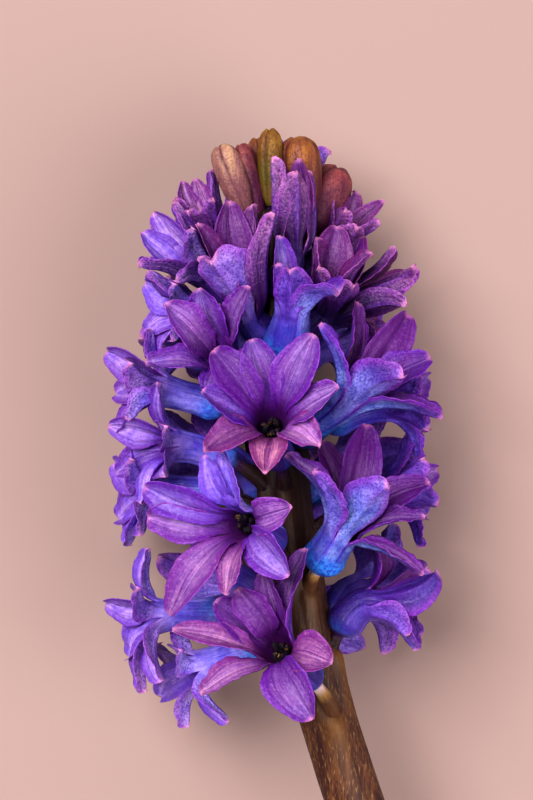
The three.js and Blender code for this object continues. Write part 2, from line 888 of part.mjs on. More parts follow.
// A closed bud: an egg-shaped body of three outer tepals, with three shallow seams
function budSolid({ foot, tip, radius }, grow = 0) {
  const skin = new Skin();
  const a = new Vector(...foot);
  const b = new Vector(...tip);
  const way = b.clone().sub(a).normalize();
  const across = new Vector(0, 0, 1).cross(way).normalize();
  const up = way.clone().cross(across);
  const length = a.distanceTo(b);
  const rings = BUD_SHAPE.map(([t, share]) =>
    Array.from({ length: BUD_SIDES }, (_, i) => {
      const angle = (i * 2 * Math.PI) / BUD_SIDES;
      const r = radius * share * (1 + BUD_SEAM * Math.cos(3 * angle)) + grow;
      return skin.add(
        sum([a, 1], [way, length * t], [across, r * Math.cos(angle)], [up, r * Math.sin(angle)]),
      );
    }),
  );
  skin.fan(rings[0], skin.add(sum([a, 1], [way, -grow])), false);
  for (let i = 1; i < rings.length; i++) skin.band(rings[i - 1], rings[i]);
  skin.fan(rings[rings.length - 1], skin.add(sum([b, 1], [way, grow])), true);
  return skin.solid();
}

// A floret of the lower side, with its lobes spread evenly and its draws taken in order
function lowerFloret([name, y, around, rise, from], index) {
  const out = degToRad(around);
  const axes = mouthAxes({ face: [around, rise] });
  const turn = LOWER_TURN_SPREAD * spread(index + 40);
  const tips = Array.from({ length: LOWER_LOBES }, (_, k) => {
    const angle = turn + (k * 2 * Math.PI) / LOWER_LOBES;
    const e = sum([axes.up, Math.cos(angle)], [axes.across, Math.sin(angle)]);
    const flare = degToRad(LOWER_FLARE + LOWER_FLARE_SPREAD * spread(11 * index + k));
    const chord = LOWER_LOBE * (1 + LOWER_LOBE_SPREAD * spread(7 * index + 3 * k));
    const tip = sum([e, MOUTH_OF_SIX + chord * Math.sin(flare)], [axes.facing, chord * Math.cos(flare)]);
    return [tip.x, tip.y, tip.z, LOWER_WIDTH];
  });
  return {
    name,
    mouth: [axisX(y) + from * Math.sin(out), y, from * Math.cos(out)],
    face: [around, rise],
    foot: [around, y - LOWER_DROP],
    curl: LOWER_CURL,
    tips,
  };
}

function material(colour, roughness) {
  return new THREE.MeshStandardMaterial({ color: colour, roughness, metalness: 0 });
}
const violet = material(0x6a3fb4, 0.5);
const brown = material(0x6b4a33, 0.55);
const black = material(0x1c1520, 0.7);

// Every piece with a solid of its own, in the order in which the pieces keep their shape
const florets = [...SHOWN, ...LOWER.map(lowerFloret)];
const pieces = [
  { name: "scape", make: scapeSolid, material: brown },
  ...florets.map((floret) => ({
    name: "floret_" + floret.name,
    make: (grow) => floretSolid(floret, grow),
    material: violet,
  })),
  ...BUDS.map((bud) => ({
    name: "bud_" + bud.name,
    make: (grow) => budSolid(bud, grow),
    material: material(bud.colour, 0.55),
  })),
];

function boxesMeet(a, b) {
  const [p, q] = [a.boundingBox(), b.boundingBox()];
  return [0, 1, 2].every((i) => p.min[i] < q.max[i] && q.min[i] < p.max[i]);
}

// Largest of the bodies that a cut leaves
function largest(solid) {
  return solid.decompose().sort((a, b) => b.volume() - a.volume())[0];
}

// All that lies below the surface, cut away so that the lowest tepals rest on small flats
const GROUND = { side: 400, depth: 100 };
const ground = solidOf(
  new THREE.BoxGeometry(GROUND.side, GROUND.side, GROUND.depth).translate(
    0,
    0,
    -AXIS_HEIGHT - GROUND.depth / 2,
  ),
);

const group = new THREE.Group();
group.position.set(SHIFT_X, SHIFT_Y, AXIS_HEIGHT);

function addMesh(name, solid, itsMaterial) {
  const { vertProperties, triVerts } = solid.getMesh();
  const geometry = new THREE.BufferGeometry();
  geometry.setAttribute("position", new THREE.BufferAttribute(vertProperties, 3));
  geometry.setIndex(new THREE.BufferAttribute(triVerts, 1));
  geometry.computeVertexNormals();
  const mesh = new THREE.Mesh(geometry, itsMaterial);
  mesh.name = name;
  group.add(mesh);
}

const placed = [];
for (const piece of pieces) {
  let solid = piece.make(0);
  for (const earlier of placed) if (boxesMeet(solid, earlier)) solid = solid.subtract(earlier);
  solid = largest(solid.subtract(ground));
  placed.push(piece.make(GAP));
  addMesh(piece.name, solid, piece.material);
}
for (const floret of florets.filter(({ name }) => OPEN.includes(name)))
  addMesh("stamens_" + floret.name, stamensSolid(floret), black);

export default group;
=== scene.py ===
import bmesh
import bpy
import numpy as np
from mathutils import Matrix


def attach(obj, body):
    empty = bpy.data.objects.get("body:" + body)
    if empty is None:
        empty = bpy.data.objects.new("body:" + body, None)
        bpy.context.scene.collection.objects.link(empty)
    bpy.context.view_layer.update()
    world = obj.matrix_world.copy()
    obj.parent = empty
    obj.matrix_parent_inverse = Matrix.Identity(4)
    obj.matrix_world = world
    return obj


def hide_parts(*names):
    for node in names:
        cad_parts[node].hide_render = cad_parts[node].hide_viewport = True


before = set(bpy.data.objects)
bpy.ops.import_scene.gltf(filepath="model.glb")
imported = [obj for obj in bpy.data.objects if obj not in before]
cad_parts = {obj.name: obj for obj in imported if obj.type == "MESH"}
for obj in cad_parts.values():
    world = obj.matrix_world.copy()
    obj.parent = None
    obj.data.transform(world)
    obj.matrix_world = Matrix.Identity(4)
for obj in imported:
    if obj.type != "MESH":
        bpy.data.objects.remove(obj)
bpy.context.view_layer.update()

# The scape: the fleshy, leafless stem that carries every floret, cut across at its foot. It leans,
# tapers towards the buds and is faintly ribbed: a rib runs down from the foot of every pedicel.
# Lengths are millimetres, laid out round the scape's axis, with the florets that show best at +Z.
AXIS_HEIGHT = 27.5
SHIFT = np.array([-5.6, 42.0, AXIS_HEIGHT])
MM = 0.001

# Places along the scape, its axis and radius there, its ridges and the shares that close its ends
SCAPE_Y = np.array([-138, -107, -76.6, -63.3, -48, -31.2, -16, 0, 14, 28, 38])
SCAPE_X = np.array([36.5, 26.5, 16.4, 12.2, 7.9, 5.1, 3.2, 1.6, 0.9, 0.9, 1.4])
SCAPE_R = np.array([6.3, 6.15, 6.0, 5.85, 5.6, 5.3, 5.0, 4.75, 4.5, 4.0, 3.3])
SCAPE_ROWS, SCAPE_COLUMNS = 240, 96
CORNERS, FLUTES, FINE_FLUTES, END_ROUND = 0.03, 0.05, 0.04, 0.35
RIB, RIB_FOOT, RIB_WIDE, RIB_LONG, RIB_STEEP = 0.5, 1.2, 0.3, 24, 9
CAP_SHARES = np.array([0.8, 0.55, 0.3, 0.1])[:, None, None]

# In metres of the frame: where along Y the scape is painted with the florets' shade, and how near
# points are the same one
SHADED = (-0.034, 0.036)
MERGE_WITHIN = 0.000002

# Where each pedicel leaves the scape: degrees round it from +Z towards +X, and the place along it
FEET = {
    "front_centre": (0, -18), "front_left": (-15, -34), "front_low": (10, -63),
    "front_right": (25, -38), "right_upper": (40, -10), "bell": (5, 4), "left_upper": (-30, -3),
    "crown_left": (-5, 11), "crown_right": (36, 11), "top_bell": (5, 20), "right_top": (66, 22),
    "right_crown": (70, 10), "left_top": (-60, 24), "left_crown": (-60, 16), "left_shoulder": (-58, 6),
    "left_side": (-78, -6), "left_inner": (-54, -18), "left_mid": (-80, -24), "left_low": (-75, -48),
    "left_base": (-95, -51), "right_low": (66, -50), "right_mid": (82, -27), "right_side": (78, -10),
    "under_low": (178, -55), "under_mid": (180, -34), "under_high": (180, -10),
    "under_crown": (180, 13), "under_top": (178, 29), "under_low_right": (128, -48),
    "under_mid_right": (132, -22), "under_crown_right": (130, 2), "under_low_left": (224, -46),
    "under_mid_left": (232, -21), "under_crown_left": (230, 3),
}


def smooth(x):
    """0 up to x = 0, 1 from x = 1, and between them the curve 3x^2 - 2x^3."""
    x = np.clip(x, 0, 1)
    return x * x * (3 - 2 * x)


def bump_at(x, middle, width):
    """A rounded bump of height 1 at the middle, falling off over the width."""
    return np.exp(-(((x - middle) / width) ** 2))


def axis_x(y):
    """The scape's axis: straight lines between the places measured along it."""
    return np.interp(y, SCAPE_Y, SCAPE_X)


def scape_radius(y):
    """The scape's radius, in straight lines between the same places."""
    return np.interp(y, SCAPE_Y, SCAPE_R)


def grid_faces(index, closed=False):
    """Quads between neighbouring rows and columns of an array of vertex numbers, facing the side
    from which the rows run up and the columns run to the left. A closed grid joins its last column
    to its first."""
    right = np.roll(index, -1, axis=1) if closed else index[:, 1:]
    left = index if closed else index[:, :-1]
    quads = np.stack([left[:-1], left[1:], right[1:], right[:-1]], axis=-1)
    return quads.reshape(-1, 4)


def rib_heights(y, angle):
    """How far the ribs stand out at every row and column: below each foot a rounded ridge, highest
    at the foot, that widens a little and fades down the scape. The tallest one counts."""
    foot = np.array(list(FEET.values()), float)
    off = np.angle(np.exp(1j * (angle - np.radians(foot[:, :1]))))
    down = foot[:, 1:] - y
    tall = smooth((down + 2.5) / 4) * smooth((RIB_LONG - down) / RIB_LONG) ** 1.5
    tall = tall * (RIB + (RIB_FOOT - RIB) * smooth(1 - down / RIB_STEEP) ** 2)
    wide = RIB_WIDE * (1.3 - 0.6 * np.clip(down / RIB_LONG, 0, 1))
    return (tall[:, :, None] * bump_at(off[:, None], 0, wide[:, :, None])).max(axis=0)


def scape_surface():
    """Rings round the leaning axis, faintly five-cornered, with ribs, fine flutes and a slightly
    rounded rim at either end. The ends are closed by flat rings that shrink to a pole."""
    low, high = SCAPE_Y[0], SCAPE_Y[-1]
    y = np.linspace(low, high, SCAPE_ROWS)
    a = np.linspace(0, 2 * np.pi, SCAPE_COLUMNS, endpoint=False)
    ribs = rib_heights(y, a)
    flute = FLUTES * np.cos(17 * a) * np.sin(y / 23)[:, None] + FINE_FLUTES * np.cos(29 * a + 1.0)
    radius = scape_radius(y)[:, None] * (1 + CORNERS * np.cos(5 * a)) + ribs + flute
    close = np.minimum(y - low, high - y)[:, None]
    radius = radius - END_ROUND * np.clip(1 - close, 0, 1) ** 2
    centre = np.stack([axis_x(y), y, 0 * y], axis=-1)
    x = centre[:, :1] + radius * np.sin(a)
    z = radius * np.cos(a)
    body = np.stack([x, np.repeat(y[:, None], a.size, axis=1), z], axis=-1)
    cut = centre[0] + (body[0] - centre[0]) * CAP_SHARES
    top = centre[-1] + (body[-1] - centre[-1]) * CAP_SHARES[::-1]
    body = np.concatenate([cut[::-1], body, top[::-1]])
    rows = len(body)
    caps = len(CAP_SHARES)
    index = np.arange(rows * a.size).reshape(rows, a.size)
    pole = np.full(a.size, rows * a.size)
    faces = [
        grid_faces(index[:, ::-1], closed=True),
        np.stack([np.roll(index[0], -1), index[0], pole], axis=1),
        np.stack([np.roll(index[-1], -1), pole + 1, index[-1]], axis=1),
    ]
    points = np.concatenate([body.reshape(-1, 3), centre[:1], centre[-1:]])
    flesh = np.zeros((rows, a.size))
    flesh[:caps] = 1
    raised = np.zeros((rows, a.size))
    raised[caps:-caps] = ribs
    around = np.tile(a / (2 * np.pi), rows)
    along = np.repeat(np.concatenate([np.full(caps, low), y, np.full(caps, high)]), a.size)
    uv = np.stack([np.append(around, [0, 0]), np.append(along, [low, high]) / 100], axis=-1)
    values = {"cut": np.append(flesh, [1, 0]), "rib": np.append(raised, [0, 0])}
    return points, faces, uv, values


def put(name, points, faces, uv, values, slot, node, material, merge=False):
    """A finished piece from points in millimetres round the scape's axis: its mesh from arrays of
    quads and triangles, its UV map, one value or colour of every attribute at every point, and its
    place in the frame. Points that fall together are merged where merge is set."""
    mesh = bpy.data.meshes.new(name)
    mesh.from_pydata((points + SHIFT) * MM, [], [face for band in faces for face in band.tolist()])
    corners = np.empty(len(mesh.loops), dtype=np.int32)
    mesh.loops.foreach_get("vertex_index", corners)
    mesh.uv_layers.new(name="UVMap").data.foreach_set("uv", uv[corners].astype(np.float32).ravel())
    for key, value in values.items():
        colour = value.ndim == 2
        layer = mesh.attributes.new(key, "FLOAT_COLOR" if colour else "FLOAT", "POINT")
        layer.data.foreach_set("color" if colour else "value", value.astype(np.float32).ravel())
    if merge:
        shell = bmesh.new()
        shell.from_mesh(mesh)
        bmesh.ops.remove_doubles(shell, verts=shell.verts, dist=MERGE_WITHIN)
        shell.to_mesh(mesh)
        shell.free()
    mesh.shade_smooth()
    mesh.materials.append(material)
    piece = bpy.data.objects.new(name, mesh)
    bpy.context.scene.collection.objects.link(piece)
    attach(piece, "root")
    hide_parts(node)


def ink(red, green, blue):
    """A colour as a material wants it, from the 0 to 255 of a colour chart."""
    return tuple(float(c) for c in (np.array([red, green, blue]) / 255) ** 2.2)


class Shade:
    """A value or colour in a material's nodes. Operators between values add Math nodes."""

    def __init__(self, tree, socket=None):
        self.tree = tree
        self.socket = socket

    def node(self, kind, settings=None, sockets=None, output=0):
        """Adds a node, sets its settings and then its sockets, and returns one of its outputs."""
        made = self.tree.nodes.new(kind)
        for key, value in (settings or {}).items():
            setattr(made, key, value)
        for key, value in (sockets or {}).items():
            if isinstance(value, Shade):
                self.tree.links.new(value.socket, made.inputs[key])
            else:
                made.inputs[key].default_value = value
        return Shade(self.tree, made.outputs[output])

    def math(self, operation, *others):
        """A Math node on this value and the others."""
        sockets = dict(enumerate((self, *others)))
        return self.node("ShaderNodeMath", {"operation": operation}, sockets)

    def __add__(self, other):
        return self.math("ADD", other)

    def __mul__(self, other):
        return self.math("MULTIPLY", other)

    def __sub__(self, other):
        return self.math("SUBTRACT", other)

    def __rsub__(self, other):
        return self * -1.0 + other

    __radd__ = __add__
    __rmul__ = __mul__

    def step(self, low, high):
        """0 below low, 1 above high and smooth between; the other way round if low > high."""
        settings = {"interpolation_type": "SMOOTHSTEP"}
        return self.node("ShaderNodeMapRange", settings, {0: self, 1: low, 2: high})

    def near(self, middle, width):
        """1 at the middle, and 0 from the width on either side."""
        return (self - middle).math("ABSOLUTE").step(width, 0.0)

    def mix(self, under, over):
        """The colour under where this value is 0, and the colour over where it is 1."""
        colours = [c if isinstance(c, Shade) else (*c, 1) for c in (under, over)]
        settings = {"data_type": "RGBA", "clamp_factor": True}
        sockets = {0: self, 6: colours[0], 7: colours[1]}
        return self.node("ShaderNodeMix", settings, sockets, output=2)

    def noise(self, scale, detail, roughness, at=None):
        """Noise at these coordinates, stretched by the three factors in at."""
        where = self
        if at:
            settings = {"operation": "MULTIPLY"}
            where = self.node("ShaderNodeVectorMath", settings, {0: self, 1: at})
        sockets = {"Vector": where, "Scale": scale, "Detail": detail, "Roughness": roughness}
        return self.node("ShaderNodeTexNoise", None, sockets)

    def parts(self):
        """The three parts of a vector or colour."""
        split = self.node("ShaderNodeSeparateXYZ", None, {0: self})
        return [Shade(self.tree, s) for s in split.socket.node.outputs]

    def attribute(self, name, output="Fac"):
        """One of the values that a piece carries at its points."""
        return self.node("ShaderNodeAttribute", {"attribute_name": name}, None, output)

    def place(self):
        """Where on the piece a point lies, in metres."""
        return self.node("ShaderNodeTexCoord", None, None, "Object")

    def uv(self):
        """The piece's own UV coordinates."""
        return self.node("ShaderNodeUVMap", {"uv_map": "UVMap"})


def finish_material(name, fixed):
    """A new material with constants on its shader, and a blank value to start its nodes from."""
    material = bpy.data.materials.new(name)
    material.use_nodes = True
    shader = material.node_tree.nodes["Principled BSDF"]
    for key, value in fixed.items():
        shader.inputs[key].default_value = value
    return material, shader, Shade(material.node_tree)


def wire(shader, start, colour, roughness, height, bump):
    """Links colour, roughness and a height in metres to the shader."""
    sockets = {"Height": height, "Distance": 1.0, "Strength": bump}
    normal = start.node("ShaderNodeBump", None, sockets)
    for key, value in {"Base Color": colour, "Roughness": roughness, "Normal": normal}.items():
        start.tree.links.new(value.socket, shader.inputs[key])


def scape_material():
    """Olive-brown skin flushed with purple, drawn out in fine lengthwise streaks, painted darker and
    redder among the florets as their shade, yellower on the ribs. The cut face is light cream, with
    dots of darker strands."""
    fixed = {"Subsurface Weight": 0.08, "Subsurface Radius": (0.8, 0.6, 0.3), "Subsurface Scale": 0.001}
    material, shader, start = finish_material("scape", fixed | {"Specular IOR Level": 0.35})
    place = start.place()
    _, y, _ = place.parts()
    cut = start.attribute("cut")
    rib = start.attribute("rib")
    broad = place.noise(1.0, 2, 0.5, at=(420, 16, 420)).step(0.38, 0.62)
    fine = place.noise(1.0, 3, 0.65, at=(1900, 60, 1900))
    fleck = place.noise(1.0, 2, 0.5, at=(3000, 500, 3000)).step(0.56, 0.7)
    skin = broad.mix(ink(56, 29, 23), ink(94, 59, 37))
    skin = (fine.step(0.46, 0.58) * 0.75).mix(skin, ink(48, 20, 26))
    skin = (fleck * 0.35).mix(skin, ink(168, 132, 92))
    skin = (rib * 0.6).mix(skin, ink(134, 92, 46))
    # Painted shade: the scape is darkened and reddened where the florets above shade it
    skin = (y.step(*SHADED) * 0.94).mix(skin, ink(34, 14, 16))
    strand = place.noise(1500, 2, 0.5).step(0.56, 0.64)
    flesh = (strand * 0.5).mix(ink(196, 196, 150), ink(150, 140, 90))
    colour = cut.step(0.4, 0.6).mix(skin, flesh)
    height = 0.00008 * fine + 0.00006 * broad
    wire(shader, start, colour, 0.45 + 0.2 * fine, height, 0.6)
    return material


put("stem", *scape_surface(), "scape", "scape", scape_material())


# The florets: each one living piece of a short pedicel, a fleshy tube that swells at its base, and
# five to eight lobes that bend back, grown in one from its foot on the scape. A gore of a floret is
# one tepal: its share of pedicel and tube, and its lobe. Lengths are millimetres.
PEDICEL, BELLY, BORE = 1.15, 3.05, 1.5
BASE_SWELL, BASE_LONG = 0.4, 3.4
TUBE, FLOOR = 12.0, 8.5
MOUTH_OF_SIX, MOUTH_OF_EIGHT = 3.1, 3.4
FOOT_SEAT, FOOT_LEAN, FOOT_REACH = 0.84, 2.2, 0.75
LINE_POINTS, LOBE_ROWS, LOBE_COLUMNS, BORE_ROWS = 65, 34, 16, 6
PEDICEL_ROWS, SWELL_ROWS, WAIST_ROWS = 7, 9, 10
TUBE_ROWS = PEDICEL_ROWS + SWELL_ROWS + WAIST_ROWS

# A lobe's bends along it, its section across, its margins, the half thickness of rim and lobe, and
# how much the calmer florets' margins wave beside the others'
BOW, TWIST, WHORL, HOOK = 0.8, 0.28, 0.45, 0.6
CUP, KEEL, GROOVE = 0.28, 0.32, 0.45
WAVE, CRINKLE, TIP_WIDTH = 0.38, 0.26, 0.4
RIM_HALF, THICK_HALF, EDGE_BEAD, NUB, SUTURE = 0.4, 0.3, 0.07, 0.2, 0.08
CALM = 0.35


def unit(v):
    """The direction of a vector: the vector over its length."""
    return v / np.linalg.norm(v, axis=-1, keepdims=True)


def spread(k):
    """An even spread between -1 and 1 for the k-th draw."""
    return 2 * ((np.asarray(k) * 0.7548776662 + 0.37) % 1.0) - 1


def hermite(p0, t0, p1, t1, s):
    """Points and unit tangents at s (0 to 1) of the cubics that leave p0 along t0 and reach p1 along
    t1. s is the last axis before the coordinates."""
    s = s[..., None]
    q = s**2
    c = s**3
    points = (2 * c - 3 * q + 1) * p0 + (c - 2 * q + s) * t0 + (3 * q - 2 * c) * p1 + (c - q) * t1
    slope = (6 * q - 6 * s) * (p0 - p1) + (3 * q - 4 * s + 1) * t0 + (3 * q - 2 * s) * t1
    return points, unit(slope)


def mouth_axes(face):
    """Directions out of a floret's mouth, up along the spike and across, from the yaw of the floret
    from straight up towards +X and its rise towards +Y, in degrees."""
    yaw, rise = np.radians(face)
    facing = np.array([np.cos(rise) * np.sin(yaw), np.sin(rise), np.cos(rise) * np.cos(yaw)])
    up = unit(np.array([0, 1, 0]) - facing * facing[1])
    return facing, up, np.cross(up, facing)


def tube_line(floret):
    """Centre line from the mouth back to the scape: a cubic that leaves the scape outwards, leaning
    towards the buds, and reaches the mouth along the tube's axis. Returns points, tangents and the
    distance of each from the mouth."""
    degrees, y = floret["foot"]
    angle = np.radians(degrees)
    out = np.array([np.sin(angle), 0, np.cos(angle)])
    foot = np.array([axis_x(y), y, 0]) + out * scape_radius(y) * FOOT_SEAT
    reach = np.linalg.norm(floret["mouth"] - foot)
    leave = unit(out + np.array([0, FOOT_LEAN, 0])) * reach * FOOT_REACH
    facing = mouth_axes(floret["face"])[0]
    along = np.linspace(1, 0, LINE_POINTS)
    points, tangents = hermite(foot, leave, floret["mouth"], facing * reach, along)
    steps = np.linalg.norm(np.diff(points, axis=0), axis=1)
    return points, tangents, np.concatenate([[0], np.cumsum(steps)])


def on_line(line, back, part=0):
    """Points (part 0) or tangents (part 1) of the centre line at distances back from the mouth."""
    return np.stack([np.interp(back, line[2], line[part][:, i]) for i in range(3)], axis=-1)


def rings(line, up, back, radius, angle):
    """Points round the centre line: at every distance back from the mouth, at the radius and angle
    given for each of its columns, the angle counted from up, clockwise seen from in front."""
    ahead = unit(on_line(line, back, 1))
    rise = unit(up - ahead * (ahead @ up)[:, None])
    across = np.cross(rise, ahead)
    turn = np.cos(angle)[..., None] * rise[:, None] + np.sin(angle)[..., None] * across[:, None]
    return on_line(line, back)[:, None] + turn * radius[..., None]


def tube_radius(back, tube, mouth, belly):
    """Outside of pedicel, tube and mouth over the distance back from the mouth: the pedicel, a little
    stouter at its foot, swells into the round base of the tube, which narrows to a waist and opens
    again towards the mouth."""
    base = np.clip((tube + 1.2 - back) / BASE_LONG, 0, 1)
    base = PEDICEL + (belly - PEDICEL) * (1 - (1 - base) ** 2.4) ** 0.7
    base = base + BASE_SWELL * bump_at(back, tube - 2.2, 1.7)
    foot = (PEDICEL * 0.35) * smooth((back - tube - 2) / 3)
    return base + foot + (mouth - belly) * np.clip(1 - back / 5, 0, 1) ** 2


def bore_radius(back, floor, mouth):
    """Inside of the tube over the distance back from the mouth: it narrows as a power of the rest."""
    return BORE + (mouth - BORE) * np.clip(1 - back / floor, 0, 1) ** 1.6


def tube_skins(floret, turn, ring):
    """Outside of pedicel and tube, its bore, and the poles that close both, gore by gore, each gore
    pinched a little along its edges. Returns points, and the distance back of every row and pole."""
    half = np.pi / len(turn)
    q = np.linspace(-1, 1, LOBE_COLUMNS + 1)
    line = tube_line(floret)
    up = mouth_axes(floret["face"])[1]
    long = line[2][-1]
    tube = min(TUBE - floret["shorter"], long - 2)
    floor = min(FLOOR, tube - 3)
    angle = turn[:, None, None] + half * q + np.zeros((1, TUBE_ROWS, 1))
    pedicel = np.linspace(long, tube + 1.2, PEDICEL_ROWS)
    swell = np.linspace(tube + 1, tube - 2, SWELL_ROWS)
    waist = np.linspace(tube - 2.6, 0.45, WAIST_ROWS)
    behind = np.concatenate([pedicel, swell, waist])
    suture = 1 - SUTURE * np.abs(q) ** 6 * smooth((tube - behind[:, None]) / 3)
    belly = BELLY * floret["stout"]
    radius = tube_radius(behind, tube, ring + RIM_HALF, belly)[:, None] * suture
    outside = np.stack([rings(line, up, behind, radius, a) for a in angle])
    within = np.linspace(floor, 0.5, BORE_ROWS)
    bore = bore_radius(within, floor, ring - RIM_HALF)[:, None] * np.ones_like(q)
    inside = np.stack([rings(line, up, within, bore, a[:BORE_ROWS]) for a in angle])
    poles = [on_line(line, at) * np.ones((len(turn), 1)) for at in (long, floor)]
    back = [-behind / tube, -within / tube, np.array([-long, -floor, tube]) / tube]
    return outside, inside, poles, back


def around_mouth(floret, turn):
    """The way a floret faces, and at each lobe the directions out from the mouth and round it."""
    facing, up, across = mouth_axes(floret["face"])
    outward = np.cos(turn)[:, None] * up + np.sin(turn)[:, None] * across
    side = -np.sin(turn)[:, None] * up + np.cos(turn)[:, None] * across
    return facing, outward, side


def lobe_midlines(floret, turn, ring, t, seed):
    """Midlines of the lobes, [lobe, row, xyz], with the directions across them and into the flower.
    Each is a cubic from the rim, which it leaves a little outwards, to the tip, where it bends back
    by its curl. It bows sideways as half a sine wave, and twists with the square of t, which is the
    share of the way along it."""
    facing, outward, side = around_mouth(floret, turn)
    tips = np.array([tip[:3] for tip in floret["tips"]])
    curl = np.radians([tip[4] if len(tip) > 4 else floret["curl"] for tip in floret["tips"]])
    base = floret["mouth"] + outward * ring
    tip = floret["mouth"] + tips
    length = np.linalg.norm(tip - base, axis=1)[:, None]
    way = (tip - base) / length
    back = unit(way * (way @ facing)[:, None] - facing)
    launch = np.radians(floret["launch"])
    leave = facing * np.cos(launch) + outward * np.sin(launch)
    end = way * np.cos(curl)[:, None] + back * np.sin(curl)[:, None]
    eager = 1.05 - 0.6 * smooth((np.degrees(curl) - 40) / 40)[:, None]
    starts = [base[:, None], (leave * length * eager)[:, None]]
    ends = [tip[:, None], (end * length * 0.95)[:, None]]
    middle, ahead = hermite(*starts, *ends, t[None])
    side = side[:, None]
    sideways = unit(side - ahead * np.sum(ahead * side, axis=-1, keepdims=True))
    inward = np.cross(sideways, ahead)
    lobe = np.arange(len(turn))
    bow = BOW * spread(seed + 7 * lobe)[:, None] * np.sin(np.pi * t) * smooth(t / 0.3)
    middle = middle + bow[..., None] * sideways
    twist = TWIST * spread(seed + 5 * lobe)[:, None, None] * t[None, :, None] ** 2
    turned = sideways * np.cos(twist) + inward * np.sin(twist)
    inward = inward * np.cos(twist) - sideways * np.sin(twist)
    return middle, turned, inward, tip + unit(end) * 0.1


def lobe_reach(floret, middle, ring, t, q):
    """Half widths to the left and right, [lobe, row, column]: they swell to the lobe's own width,
    round off to a blunt tip as a flattened ellipse, and stop a little past halfway to a neighbour.
    t is the share of the way along a lobe, and q the place across it, from -1 to 1."""
    half = np.pi / len(middle)
    own = np.array([tip[3:4] for tip in floret["tips"]])
    root = ring * np.sin(half)
    swell = root + (own - root) * smooth((t - 0.05) / floret["full_at"])
    round_off = (1 - np.clip((t - 0.42) / 0.58, 0, 1) ** 2) ** 0.7
    width = np.maximum(swell * (1 + floret["wider"] * smooth(t / 0.4)) * round_off, TIP_WIDTH)
    spare = floret["overlap"] * smooth((t - 0.1) / 0.25)
    joined = 1 - smooth((t - 0.04) / (0.1 + 0.012 * floret["launch"]))
    sides = []
    for neighbour in (1, -1):
        gap = np.linalg.norm(middle - np.roll(middle, neighbour, axis=0), axis=-1) / 2 + spare
        sides.append(np.maximum(np.minimum(width, gap), (gap - spare) * joined)[..., None])
    return np.where(q < 0, *sides)


def lobe_skins(floret, turn, ring, t, seed):
    """Outer skin, inner skin and the edges between them, and the tips. Across its midline a lobe is
    bent into a channel, a parabola with a soft keel that deepens towards the tip, with a groove
    along the middle between two low ridges and margins waved by sines. The skins lie half a
    thickness to either side, which thins towards the margins and thickens into a nub at the tip."""
    outward, side = [way[:, None, None] for way in around_mouth(floret, turn)[1:]]
    middle, sideways, inward, tip = lobe_midlines(floret, turn, ring, t, seed)
    half = np.pi / len(turn)
    q = np.linspace(-1, 1, LOBE_COLUMNS + 1)
    reach = lobe_reach(floret, middle, ring, t, q)
    lobe = np.arange(len(turn))[:, None, None]
    v = t[None, :, None]
    free = smooth(v / 0.3)
    hood = 1 + 1.4 * smooth((v - 0.78) / 0.22)
    wave = np.sin(2 * np.pi * (1.7 * v + spread(seed + 3 * lobe))) * np.abs(q) ** 3 * WAVE
    crinkle = np.sin(2 * np.pi * (6.3 * v + 0.37 * lobe)) * np.sin(2 * np.pi * (2.3 * v + 0.61 * lobe))
    wave = (wave + crinkle * np.abs(q) ** 5 * CRINKLE) * floret["ruffle"]
    vein = -GROOVE * bump_at(q, 0, 0.16) + 0.5 * GROOVE * bump_at(np.abs(q), 0.36, 0.16)
    bend = CUP * q**2 + KEEL * np.sqrt(q**2 + 0.02)
    depth = bend * reach * hood + (wave + vein) * smooth((1 - v) / 0.2) * smooth(v / 0.15)
    whorl = np.where(lobe % 2, WHORL, -WHORL) * smooth(v / 0.25) + HOOK * smooth((v - 0.84) / 0.16) ** 2
    sheet = (
        middle[:, :, None]
        + ((1 - free) * ring * np.sin(q * half))[..., None] * side
        - ((1 - free) * ring * (1 - np.cos(q * half)))[..., None] * outward
        + (free * reach * q)[..., None] * sideways[:, :, None]
        + (free * depth + whorl)[..., None] * inward[:, :, None]
    )
    radial = np.cos(q * half)[:, None] * outward + np.sin(q * half)[:, None] * side
    normal = unit((1 - free)[..., None] * -radial + free[..., None] * inward[:, :, None])
    thin = (1 - 0.62 * q**2) * (1 - 0.35 * v) + 0.2 * bump_at(q, 0, 0.25)
    nub = NUB * bump_at(v, 0.96, 0.05) * (1 - q**2)
    thick = (1 - free) * RIM_HALF + free * (THICK_HALF * thin + nub)
    outer = sheet - normal * thick[..., None]
    inner = sheet + normal * thick[..., None]
    bead = (free * EDGE_BEAD) * sideways
    edges = [(outer[:, :, i] + inner[:, :, i]) / 2 + bead * d for i, d in ((0, -1), (-1, 1))]
    return outer, inner, edges, tip


